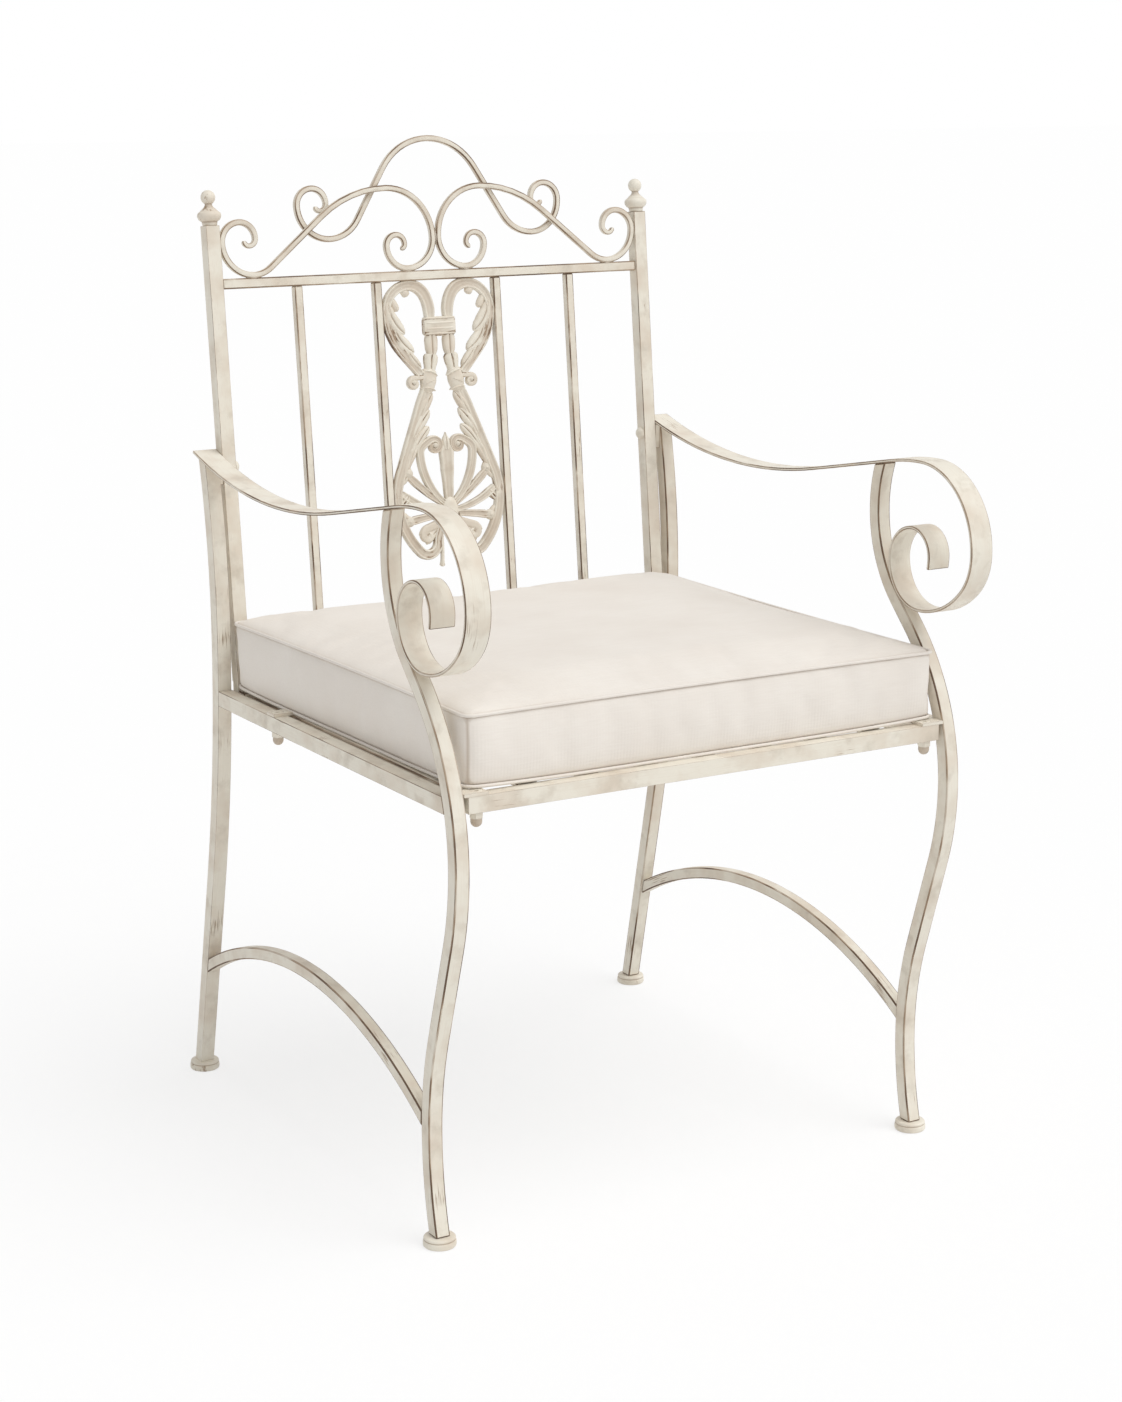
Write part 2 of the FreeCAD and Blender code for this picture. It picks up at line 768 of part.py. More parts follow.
def splat_collar():
    """Block that clasps both stems, with grooves across its front and back."""
    half = stem_x + collar_side
    face = collar_thick / 2
    collar = box((-half, half), (-face, face), (collar_low, collar_high))
    for share in groove_places:
        groove_z = collar_low + share * collar_height
        for front in (-face, face - 1):
            groove = box((-seat_width, seat_width), (front, front + 1), (groove_z, groove_z + collar_groove))
            collar = collar.cut(groove)
    return collar


def make_splat():
    """Cast lyre and palmette, one casting with both halves."""
    half = splat_lyre() + splat_body() + splat_palmette()
    mirror = [piece.mirror(Vector(0, 0, 0), Vector(1, 0, 0)) for piece in half]
    tip = (0, hub_z + leaf_rise)
    shoulder = (leaf_half, hub_z + leaf_rise - leaf_shoulder)
    root = (leaf_root_half, hub_z + hub_height / 3)
    centre_leaf = outline([root, shoulder, tip, (-shoulder[0], shoulder[1]), (-root[0], root[1])],
                          back_plane, -leaf_thick / 2, leaf_thick / 2)
    hub = barrel((0, hub_z), hub_radius, hub_height)
    return joined(half + mirror + [splat_collar(), centre_leaf, hub])


def screw(tip, axis, length, head):
    """Screw from its tip along an axis, with a domed or a countersunk head at the far end."""
    if head == "dome":
        dome = [(1, 0), (1, 0.35), (0.82, 0.75), (0.4, 1)]
        points = [(bolt_radius, 0), (bolt_radius, length)]
        points.extend((radius * bolt_head_radius, length + z * bolt_head_height) for radius, z in dome)
    else:
        points = [(bolt_radius, 0), (bolt_radius, length - bolt_radius), (2 * bolt_radius, length)]
    return turned(points, tip, axis, fixing_sides)


def dome_nut(top):
    """Hexagon nut with a domed cap, hanging below its seat."""
    corner = nut_flats / math.sqrt(3)
    hexagon = turned([(corner, 0), (corner, nut_hex_height)], Vector(0, 0, -nut_hex_height), UP, 6)
    dome_radius = nut_flats / 2 - nut_dome_inset
    profile = [(0.42, 0), (0.85, 0.17), (1, 0.4), (1, 1)]
    points = [(share * dome_radius, z * nut_height) for share, z in profile]
    nut = joined([hexagon, turned(points, Vector(0, 0, -nut_height), UP, fixing_sides)])
    nut = nut.cut(rod(bolt_radius + bolt_clearance, Vector(0, 0, -thread_depth - 1), UP, nut_height))
    nut.translate(top)
    return nut


def drill(name, hole):
    """Makes the same hole in the left piece and, mirrored, in the right one."""
    parts["left_" + name] = parts["left_" + name].cut(hole)
    mirror = hole.mirror(Vector(0, 0, 0), Vector(1, 0, 0))
    parts["right_" + name] = parts["right_" + name].cut(mirror)


def drill_both_ends(name, hole):
    """Makes a hole and its mirror image in one piece that spans the chair."""
    mirror = hole.mirror(Vector(0, 0, 0), Vector(1, 0, 0))
    parts[name] = parts[name].cut(hole).cut(mirror)


def seat_bolt(plate, centre, name):
    """Lug over a rail, countersunk bolt down through both, and the dome nut below the rail."""
    top = seat_top + flat_thick
    tip = Vector(centre[0], centre[1], rail_low - thread_depth)
    bolt = screw(tip, UP, top - tip.z, "countersunk")
    hole = rod(bolt_radius + bolt_clearance, tip, UP, top - tip.z)
    add_pair(name + "_lug", plate.cut(hole).cut(bolt))
    add_pair(name + "_bolt", bolt)
    add_pair(name + "_nut", dome_nut(Vector(centre[0], centre[1], rail_low)))
    return hole


def make_fixings():
    """Bolts that hold the seat panel and the back panel to the side frames."""
    half_plate = plate_width / 2
    top = (seat_top, seat_top + flat_thick)
    front = (seat_width / 2 - front_bolt_inset, seat_front + rail_bar / 2)
    plate = box((front[0] - half_plate, leg_inner), (front[1] - half_plate, front[1] + half_plate), top)
    drill_both_ends("seat_front_rail", seat_bolt(plate, front, "front_seat"))
    rear = (leg_outer - rail_bar / 2, rail_rear - rear_bolt_ahead)
    plate = box((seat_width / 2 - rail_bar, leg_outer), (rear[1] - half_plate, rear[1] + half_plate), top)
    drill("side_rail", seat_bolt(plate, rear, "rear_seat"))

    arm_under = arm_rear_z - spacer_top_gap - strap_thick
    bolt_y = post_centre_y(upper_bolt_z)
    half_spacer = post_bar / 2
    spacer = box((post_x + half_spacer, leg_inner), (bolt_y - half_spacer, bolt_y + half_spacer),
                 (arm_under - spacer_height, arm_under))
    tip = Vector(leg_inner + thread_depth, bolt_y, upper_bolt_z)
    inward = Vector(-1, 0, 0)
    bolt = screw(tip, inward, tip.x - post_inner, "dome")
    hole = rod(bolt_radius + bolt_clearance, tip, inward, tip.x)
    add_pair("post_spacer", spacer.cut(hole))
    drill("back_post", hole)
    drill("rear_leg", hole)
    add_pair("upper_back_bolt", bolt)

    foot_z = rail_low + rail_bar / 2
    seat_of_head = post_centre_y(foot_z) + post_bar / 2 / math.cos(lean)
    tip = Vector(post_x, rail_rear - thread_depth, foot_z)
    backward = Vector(0, 1, 0)
    head_flat = box((0, seat_width), (seat_of_head, seat_of_head + post_bar), (0, foot_z + post_bar))
    parts["left_back_post"] = fitted(parts["left_back_post"], head_flat)
    parts["right_back_post"] = fitted(parts["right_back_post"],
                                      head_flat.mirror(Vector(0, 0, 0), Vector(1, 0, 0)))
    hole = rod(bolt_radius + bolt_clearance, tip, backward, seat_of_head - tip.y + post_bar)
    drill("back_post", hole)
    drill_both_ends("seat_rear_rail", hole)
    add_pair("lower_back_bolt", screw(tip, backward, seat_of_head - tip.y, "dome"))


def cushion_seam():
    """Outline of the cushion round its middle, in short chords: sides drawn in between round corners."""
    slant = cushion_corner * (1 - math.sqrt(0.5))
    right = cushion_half
    rear = cushion_half_depth
    straight_x = right - cushion_corner
    straight_y = rear - cushion_corner
    half = (
        ((right, -straight_y), (right - cushion_waist, 0), (right, straight_y)),
        ((right, straight_y), (right - slant, rear - slant), (straight_x, rear)),
        ((straight_x, rear), (0, rear - cushion_waist), (-straight_x, rear)),
        ((-straight_x, rear), (slant - right, rear - slant), (-right, straight_y)),
    )
    points = []
    for turn in (1, -1):
        for side in half:
            arc = Part.Arc(*[Vector(turn * x, turn * y, 0) for x, y in side])
            points += arc.toShape().discretize(cushion_chords + 1)[:-1]
    return points + points[:1]


def cushion_ring(inset, z):
    """Seam outline drawn in all round, at a height."""
    middle = Vector(0, cushion_front + cushion_half_depth, z)
    return [middle + point * (1 - inset / cushion_half) for point in cushion_seam()]


def make_cushion():
    """Box cushion: raised bottom edge, drawn-in sides and a crown on top."""
    base = seat_top + cushion_gap
    low_seam = base + cushion_seam_low
    high_seam = base + cushion_seam_high
    crown = cushion_height - cushion_seam_high
    rings = [cushion_ring(cushion_rise, base)]
    for step in range(side_steps + 1):
        share = step / side_steps
        draw = 4 * cushion_side_draw * share * (1 - share)
        rings.append(cushion_ring(draw, low_seam + share * (high_seam - low_seam)))
    for step in range(1, crown_steps + 1):
        angle = math.radians(90 * step / crown_steps)
        inset = crown_reach * (1 - math.cos(angle))
        rings.append(cushion_ring(inset, high_seam + crown * math.sin(angle)))
    parts["seat_cushion"] = skinned(rings)


def main():
    """Builds every piece, puts the origin under the middle of the chair and writes the pieces."""
    make_side_frames()
    make_seat_panel()
    make_back_panel()
    make_fixings()
    make_cushion()
    os.makedirs("parts", exist_ok=True)
    for name, shape in sorted(parts.items()):
        shape.translate(Vector(0, -origin_y, 0))
        shape.exportStep("parts/%s.step" % name)
        facts = (name, len(shape.Solids), shape.Volume, shape.isValid())
        print("%-26s solids %d volume %9.1f valid %s" % facts)


main()
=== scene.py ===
"""Looks of a bolted garden armchair: bent square bar, a cast splat, strap arms and a loose box cushion.

Metres in the chair's own frame: +Z up, the chair faces -Y, +X is the sitter's left.
"""

import logging
import math
from dataclasses import dataclass
from enum import Enum

import bpy
from mathutils import Matrix, Vector


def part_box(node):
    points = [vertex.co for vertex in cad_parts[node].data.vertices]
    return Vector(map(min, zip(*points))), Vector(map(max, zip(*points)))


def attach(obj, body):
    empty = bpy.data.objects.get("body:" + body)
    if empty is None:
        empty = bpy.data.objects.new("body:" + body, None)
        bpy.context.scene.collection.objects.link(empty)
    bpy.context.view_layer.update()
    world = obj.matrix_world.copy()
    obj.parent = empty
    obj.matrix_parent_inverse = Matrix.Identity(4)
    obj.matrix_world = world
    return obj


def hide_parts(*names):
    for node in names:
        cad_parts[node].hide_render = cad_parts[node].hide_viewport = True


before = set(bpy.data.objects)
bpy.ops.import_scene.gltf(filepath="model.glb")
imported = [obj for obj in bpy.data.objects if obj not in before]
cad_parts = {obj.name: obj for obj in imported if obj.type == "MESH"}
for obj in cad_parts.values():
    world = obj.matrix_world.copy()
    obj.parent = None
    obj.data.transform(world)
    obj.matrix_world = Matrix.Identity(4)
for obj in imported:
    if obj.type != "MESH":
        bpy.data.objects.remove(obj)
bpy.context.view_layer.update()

LOG = logging.getLogger("armchair")
MM = 0.001
FRAME_BODY = "chair_frame"
SIDES = ("left", "right")

# Metres under which two vertices are one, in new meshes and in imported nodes
MERGE = 1e-6
NODE_MERGE = 1e-5
# Change of a heading in degrees or a width in millimetres that counts as none
NO_CHANGE = 1e-6
# Largest share of the radii at which two opposite arcs would just fit between two points
FITTING = 0.999
# A piece's paint pattern is moved aside by one of this many steps of this many metres
ASIDE_COUNT = 997
ASIDE_STEP = 0.0131

Point = tuple[float, float]
SectionPoint = tuple[float, float, float]


# Small tools for meshes


def deselect() -> None:
    """Leaves nothing selected."""
    if bpy.context.object and bpy.context.object.mode != "OBJECT":
        bpy.ops.object.mode_set(mode="OBJECT")
    bpy.ops.object.select_all(action="DESELECT")


def select_only(piece: bpy.types.Object) -> None:
    """Makes a piece the only selected one, and the active one."""
    deselect()
    piece.select_set(True)
    bpy.context.view_layer.objects.active = piece


def named(name: str) -> bpy.types.Object:
    """The object an operator has just made, with its name and its mesh's name set."""
    piece = bpy.context.object
    piece.name = name
    piece.data.name = name
    return piece


def apply_modifier(piece: bpy.types.Object, kind: str, **settings: object) -> None:
    """Adds one modifier with its settings and applies it.

    Args:
        piece: The mesh object.
        kind: Blender's name of the modifier's type.
        settings: Values of the modifier's properties.
    """
    select_only(piece)
    modifier = piece.modifiers.new(kind.lower(), kind)
    for name, value in settings.items():
        setattr(modifier, name, value)
    bpy.ops.object.modifier_apply(modifier=modifier.name)


def joined(name: str, pieces: list[bpy.types.Object]) -> bpy.types.Object:
    """Joins mesh objects into one with a name.

    Args:
        name: Name of the joined piece.
        pieces: The objects, of which none is kept on its own.

    Returns:
        The joined object.
    """
    select_only(pieces[0])
    for piece in pieces:
        piece.select_set(True)
    if len(pieces) > 1:
        bpy.ops.object.join()
    return named(name)


def settle(piece: bpy.types.Object) -> None:
    """Puts a piece's place into its mesh, so that its object sits at the origin."""
    select_only(piece)
    bpy.ops.object.transform_apply(location=True, rotation=True, scale=True)


def outward(piece: bpy.types.Object) -> None:
    """Merges a mesh's doubles and turns all its faces outwards."""
    select_only(piece)
    bpy.ops.object.mode_set(mode="EDIT")
    bpy.ops.mesh.select_all(action="SELECT")
    bpy.ops.mesh.remove_doubles(threshold=MERGE)
    bpy.ops.mesh.normals_make_consistent(inside=False)
    bpy.ops.object.mode_set(mode="OBJECT")


def smooth(piece: bpy.types.Object, angle: float) -> None:
    """Shades a piece smooth up to an angle in degrees."""
    select_only(piece)
    bpy.ops.object.shade_smooth_by_angle(angle=math.radians(angle))


def copy_of(piece: bpy.types.Object, name: str) -> bpy.types.Object:
    """A copy with its own mesh.

    Args:
        piece: The object to copy.
        name: Name of the copy.

    Returns:
        The copy, linked to the scene.
    """
    twin = piece.copy()
    twin.data = piece.data.copy()
    twin.name = name
    twin.data.name = name
    bpy.context.collection.objects.link(twin)
    return twin


def mirrored(piece: bpy.types.Object, name: str) -> bpy.types.Object:
    """Mirror image of a piece across the chair's middle plane, facing outwards.

    Args:
        piece: The left piece.
        name: Name of the right piece.

    Returns:
        The right piece.
    """
    twin = copy_of(piece, name)
    twin.parent = None
    twin.scale = (-1, 1, 1)
    settle(twin)
    outward(twin)
    return twin


# Drawing in a plane


def unit(heading: float) -> Point:
    """Direction of a heading in degrees."""
    return math.cos(math.radians(heading)), math.sin(math.radians(heading))


def heading_between(start: Point, end: Point) -> float:
    """Heading in degrees of the straight line from one point to another."""
    return math.degrees(math.atan2(end[1] - start[1], end[0] - start[0]))


def moved(point: Point, direction: Point, distance: float = 1.0) -> Point:
    """Point moved along a direction, or by an offset where no distance is given."""
    return point[0] + direction[0] * distance, point[1] + direction[1] * distance


@dataclass(frozen=True)
class Run:
    """A straight run, or an arc where its sweep in degrees isn't 0; a sweep to the left is positive."""

    start: Point
    heading: float
    length: float
    sweep: float = 0.0

    def at(self, share: float) -> Point:
        """Point at a share of the run."""
        if self.sweep == 0:
            return moved(self.start, unit(self.heading), self.length * share)
        radius = self.length / math.radians(self.sweep)
        centre = moved(self.start, unit(self.heading + 90), radius)
        return moved(centre, unit(self.heading + self.sweep * share + 90), -radius)


class Line:
    """A pen's line of tangent runs in a flat plane, in millimetres."""

    def __init__(self, start: Point, heading: float) -> None:
        """Starts at a point with a heading in degrees."""
        self.point = start
        self.heading = heading
        self.runs: list[Run] = []

    def add(self, run: Run) -> "Line":
        """Adds a run and moves the pen to its end."""
        self.runs.append(run)
        self.point = run.at(1)
        self.heading = run.heading + run.sweep
        return self

    def ahead(self, length: float) -> "Line":
        """A straight run."""
        return self.add(Run(self.point, self.heading, length))

    def arc(self, radius: float, sweep: float) -> "Line":
        """An arc of a radius through a sweep in degrees."""
        return self.add(Run(self.point, self.heading, radius * math.radians(abs(sweep)), sweep))

    def arc_to(self, point: Point) -> "Line":
        """One arc from here, tangent to the heading, that ends at a point."""
        half = (heading_between(self.point, point) - self.heading + 180) % 360 - 180
        chord = math.dist(self.point, point)
        return self.arc(chord / 2 / math.sin(math.radians(abs(half))), 2 * half)

    def quarters(self, radii: tuple[float, ...], side: int) -> "Line":
        """Quarter turns one after the other, to the left for side 1 and the right for -1."""
        for radius in radii:
            self.arc(radius, 90 * side)
        return self

    def turn_to(self, point: Point, radius: float, side: int) -> "Line":
        """An arc and then a straight run that ends at a point.

        Args:
            point: Where the straight run ends.
            radius: The arc's radius.
            side: 1 for a turn to the left, -1 to the right.

        Returns:
            The line itself.
        """
        centre = moved(self.point, unit(self.heading + 90), side * radius)
        distance = math.dist(centre, point)
        straight = heading_between(centre, point) + side * math.degrees(math.asin(radius / distance))
        self.arc(radius, side * ((straight - self.heading) * side % 360))
        return self.ahead(math.sqrt(distance**2 - radius**2))

    def s_bend(self, point: Point, first: float, second: float, side: int) -> "Line":
        """Two opposite arcs with a straight run between, ending at a point with the same heading.

        Args:
            point: Where the bend ends.
            first: Radius of the first arc.
            second: Radius of the second arc.
            side: 1 if the first arc turns left, -1 if it turns right.

        Returns:
            The line itself.
        """
        step = (point[0] - self.point[0], point[1] - self.point[1])
        along, across = unit(self.heading), unit(self.heading + 90)
        ahead = step[0] * along[0] + step[1] * along[1]
        beside = step[0] * across[0] + step[1] * across[1]
        limit = (ahead**2 + beside**2) / (2 * abs(beside))
        share = min(1.0, FITTING * limit / (first + second))
        near, far = first * share, second * share
        from_centre = moved(self.point, across, side * near)
        to_centre = moved(point, across, -side * far)
        distance = math.dist(from_centre, to_centre)
        tilt = math.degrees(math.asin((near + far) / distance))
        sweep = side * ((heading_between(from_centre, to_centre) + side * tilt - self.heading) * side % 360)
        self.arc(near, sweep)
        self.ahead(math.sqrt(distance**2 - (near + far) ** 2))
        return self.arc(far, -sweep)

    def turned_round(self) -> "Line":
        """The same line drawn from its end to its start."""
        line = Line(self.point, self.heading + 180)
        for run in reversed(self.runs):
            line.add(Run(run.at(1), run.heading + run.sweep + 180, run.length, -run.sweep))
        return line

    def mirrored(self) -> "Line":
        """The line's mirror image about the upright axis."""
        first = self.runs[0]
        line = Line((-first.start[0], first.start[1]), 180 - first.heading)
        for run in self.runs:
            line.add(Run((-run.start[0], run.start[1]), 180 - run.heading, run.length, -run.sweep))
        return line

    def followed_by(self, other: "Line") -> "Line":
        """This line and then another that starts where it ends."""
        line = Line(self.runs[0].start, self.runs[0].heading)
        for run in self.runs + other.runs:
            line.add(run)
        return line

    def stations(self, step: float, turn: float) -> list[tuple[float, Point, float]]:
        """Places along the line, from its start to its end.

        Args:
            step: Longest step in millimetres.
            turn: Largest turn between two places, in degrees.

        Returns:
            Share of the whole length, point and heading of each place.
        """
        total = sum(run.length for run in self.runs)
        places = [(0.0, self.runs[0].start, self.runs[0].heading)]
        done = 0.0
        for run in self.runs:
            count = max(1, math.ceil(run.length / step), math.ceil(abs(run.sweep) / turn))
            for index in range(1, count + 1):
                share = index / count
                places.append(((done + run.length * share) / total, run.at(share),
                               run.heading + run.sweep * share))
            done += run.length
        return places


def between(table: tuple[Point, ...], share: float) -> float:
    """Value at a share, read from a table of shares and values with smooth steps between."""
    for (low, first), (high, second) in zip(table, table[1:]):
        if share <= high:
            t = max(0.0, (share - low) / (high - low))
            return first + (second - first) * t * t * (3 - 2 * t)
    return table[-1][1]


def mirrored_section(quarter: tuple[SectionPoint, ...]) -> tuple[SectionPoint, ...]:
    """A whole cross-section from its quarter, which runs from its side to the middle of its front."""
    half = quarter + tuple((-across, depth, edge) for across, depth, edge in reversed(quarter[:-1]))
    return half + tuple((across, -depth, edge) for across, depth, edge in reversed(half[1:-1]))


def soft_square(angle: float, roundness: float = 0.5, fall: float = 1.7) -> SectionPoint:
    """Point on a square bar with rounded edges.

    Args:
        angle: Where the point lies, in degrees.
        roundness: 1 for a round bar, nearing 0 for a sharp one.
        fall: How fast the edge's value falls off beside the corner.

    Returns:
        The point across and in depth, and how much of an edge it is.
    """
    across, depth = unit(angle)
    return (math.copysign(abs(across) ** roundness, across) / 2,
            math.copysign(abs(depth) ** roundness, depth) / 2,
            abs(math.sin(math.radians(2 * angle))) ** fall)


class Section(Enum):
    """Cross-section of a swept bar or cast band: across, depth and how much of an edge each point is."""

    ROUND = tuple((unit(angle)[0] / 2, unit(angle)[1] / 2, 0.0) for angle in range(0, 360, 20))
    SOFT_SQUARE = tuple(soft_square(angle) for angle in range(9, 369, 18))
    HOLLOW = mirrored_section(((0.5, 0.0, 1.0), (0.49, 0.27, 0.9), (0.45, 0.44, 0.25), (0.36, 0.5, 0.0),
                               (0.27, 0.42, 0.8), (0.14, 0.36, 0.25), (0.0, 0.38, 0.0)))
    VEINED = mirrored_section(((0.5, 0.0, 1.0), (0.47, 0.22, 0.6), (0.36, 0.38, 0.1), (0.18, 0.5, 0.0),
                               (0.07, 0.46, 0.4), (0.0, 0.33, 1.0)))


def write_drawn(piece: bpy.types.Object, values: list[tuple[float, float, float]]) -> None:
    """Writes where each point lay on the straight bar, with the bar along Z, as attribute "drawn".

    Args:
        piece: The mesh object.
        values: One place per vertex, in metres. Each piece is moved aside by an amount of its own.
    """
    letters = sum(ord(letter) * (index + 3) for index, letter in enumerate(piece.name))
    aside = letters % ASIDE_COUNT * ASIDE_STEP
    attribute = piece.data.attributes.new("drawn", "FLOAT_VECTOR", "POINT")
    for entry, value in zip(attribute.data, values):
        entry.vector = (value[0], value[1] + aside, value[2])


def lay_out(piece: bpy.types.Object, line: Line | None = None, plane: Matrix | None = None) -> None:
    """Lays a bar out straight in its attribute "drawn", so that brush lines follow its bends.

    Args:
        piece: The bar.
        line: Its middle line in millimetres, or None where it is straight.
        plane: Takes the line's plane to its place on the chair.
    """
    points = [vertex.co for vertex in piece.data.vertices]
    if line is None:
        spans = [max(point[axis] for point in points) - min(point[axis] for point in points)
                 for axis in range(3)]
        long = spans.index(max(spans))
        first, second = (axis for axis in range(3) if axis != long)
        write_drawn(piece, [(point[first], point[second], point[long]) for point in points])
        return
    places = line.stations(step=3, turn=5)
    total = sum(run.length for run in line.runs)
    flat = plane.inverted()
    values = []
    for point in points:
        x, y, depth = flat @ point / MM
        share, near, heading = min(places, key=lambda place: (place[1][0] - x) ** 2 + (place[1][1] - y) ** 2)
        ahead = unit(heading)
        step = (x - near[0], y - near[1])
        along = share * total + step[0] * ahead[0] + step[1] * ahead[1]
        values.append(((step[1] * ahead[0] - step[0] * ahead[1]) * MM, depth * MM, along * MM))
    write_drawn(piece, values)


def write_edges(piece: bpy.types.Object, values: list[float]) -> None:
    """Writes how much of an edge each face corner is, 0 to 1, as attribute "arris"."""
    attribute = piece.data.attributes.new("arris", "FLOAT", "CORNER")
    attribute.data.foreach_set("value", values)


def swept(name: str, line: Line, widths: tuple[Point, ...], thicks: tuple[Point, ...],
          section: Section = Section.HOLLOW, step: float = 4.0, turn: float = 10.0,
          lift: float = 0.0) -> bpy.types.Object:
    """Closed bar or band drawn out along a line in the plane of X and Y.

    Args:
        name: Name of the piece.
        line: The middle line, in millimetres.
        widths: Shares of the length and widths in millimetres, in the plane.
        thicks: Shares of the length and thicknesses in millimetres, across the plane.
        section: The cross-section.
        step: Longest step in millimetres.
        turn: Largest turn of one step, in degrees.
        lift: Distance of the middle line from the plane, in millimetres.

    Returns:
        The finished mesh, with outward faces.
    """
    places = line.stations(step, turn)
    total = sum(run.length for run in line.runs)
    share, point, heading = places[0]
    width, thick = between(widths, share), between(thicks, share)
    deselect()
    bpy.ops.mesh.primitive_circle_add(vertices=len(section.value), fill_type="NGON",
                                      location=(point[0] * MM, point[1] * MM, lift * MM),
                                      rotation=(math.pi / 2, 0, math.radians(heading + 90)))
    piece = named(name)
    for vertex, (across, depth, _) in zip(piece.data.vertices, section.value):
        vertex.co = (across * width * MM, depth * thick * MM, 0)
    drawn = [(across * width * MM, depth * thick * MM, 0.0) for across, depth, _ in section.value]
    bpy.ops.object.mode_set(mode="EDIT")
    bpy.ops.mesh.select_all(action="SELECT")
    for share, next_point, next_heading in places[1:]:
        shift = ((next_point[0] - point[0]) * MM, (next_point[1] - point[1]) * MM, 0)
        centre = (next_point[0] * MM, next_point[1] * MM, lift * MM)
        bpy.ops.mesh.extrude_region_move(TRANSFORM_OT_translate={"value": shift})
        if abs(next_heading - heading) > NO_CHANGE:
            bpy.ops.transform.rotate(value=-math.radians(next_heading - heading), orient_axis="Z",
                                     orient_type="GLOBAL", center_override=centre)
        next_width, next_thick = between(widths, share), between(thicks, share)
        if max(abs(next_width - width), abs(next_thick - thick)) > NO_CHANGE:
            grow = (next_width / width, next_width / width, next_thick / thick)
            bpy.ops.transform.resize(value=grow, orient_type="GLOBAL", center_override=centre)
        point, heading, width, thick = next_point, next_heading, next_width, next_thick
        drawn += [(across * width * MM, depth * thick * MM, share * total * MM)
                  for across, depth, _ in section.value]
    bpy.ops.object.mode_set(mode="OBJECT")
    settle(piece)
    outward(piece)
    write_drawn(piece, drawn)
    count = len(section.value)
    write_edges(piece, [section.value[loop.vertex_index % count][2] for loop in piece.data.loops])
    return piece


def turned(name: str, profile: list[Point], steps: int) -> bpy.types.Object:
    """Piece turned on a lathe about the upright axis.

    Args:
        name: Name of the piece.
        profile: Radius and height points in millimetres, from the foot to the top.
        steps: Faces around the piece.

    Returns:
        The closed mesh, standing at the origin.
    """
    deselect()
    bpy.ops.mesh.primitive_plane_add(size=MM)
    piece = named(name)
    bpy.ops.object.mode_set(mode="EDIT")
    bpy.ops.mesh.select_all(action="SELECT")
    bpy.ops.mesh.merge(type="CENTER")
    radius, height = profile[0]
    bpy.ops.transform.translate(value=(radius * MM, 0, height * MM))
    for next_radius, next_height in profile[1:]:
        shift = ((next_radius - radius) * MM, 0, (next_height - height) * MM)
        bpy.ops.mesh.extrude_region_move(TRANSFORM_OT_translate={"value": shift})
        radius, height = next_radius, next_height
    bpy.ops.mesh.select_all(action="SELECT")
    bpy.ops.mesh.spin(steps=steps, angle=2 * math.pi, center=(0, 0, 0), axis=(0, 0, 1))
    bpy.ops.object.mode_set(mode="OBJECT")
    outward(piece)
    return piece


def placed(piece: bpy.types.Object, matrix: Matrix) -> bpy.types.Object:
    """Moves a piece by a matrix and puts the move into its mesh."""
    piece.matrix_world = matrix @ piece.matrix_world
    settle(piece)
    return piece


# Finishes


def linear(colour: str) -> tuple[float, float, float, float]:
    """An sRGB hex colour as linear red, green, blue and alpha."""
    values = [int(colour[index:index + 2], 16) / 255 for index in (1, 3, 5)]
    red, green, blue = (v / 12.92 if v <= 0.04045 else ((v + 0.055) / 1.055) ** 2.4 for v in values)
    return red, green, blue, 1.0


def per_metre(size: float) -> float:
    """Scale of a pattern whose features are a size in millimetres."""
    return 1 / (size * MM)


def add_node(tree: bpy.types.NodeTree, kind: str, settings: dict[str, object] | None = None,
             links: dict[str | int, bpy.types.NodeSocket] | None = None) -> bpy.types.Node:
    """Adds a node with its settings and links.

    Args:
        tree: The node tree.
        kind: Type of the node.
        settings: Values by name; a name that is an input's is set there, and any other on the node.
        links: Output sockets by the name or number of the input they go to.

    Returns:
        The new node.
    """
    node = tree.nodes.new(kind)
    for name, value in (settings or {}).items():
        if hasattr(node, name):
            setattr(node, name, value)
        else:
            node.inputs[int(name) if name.isdigit() else name].default_value = value
    for name, socket in (links or {}).items():
        tree.links.new(socket, node.inputs[name])
    return node


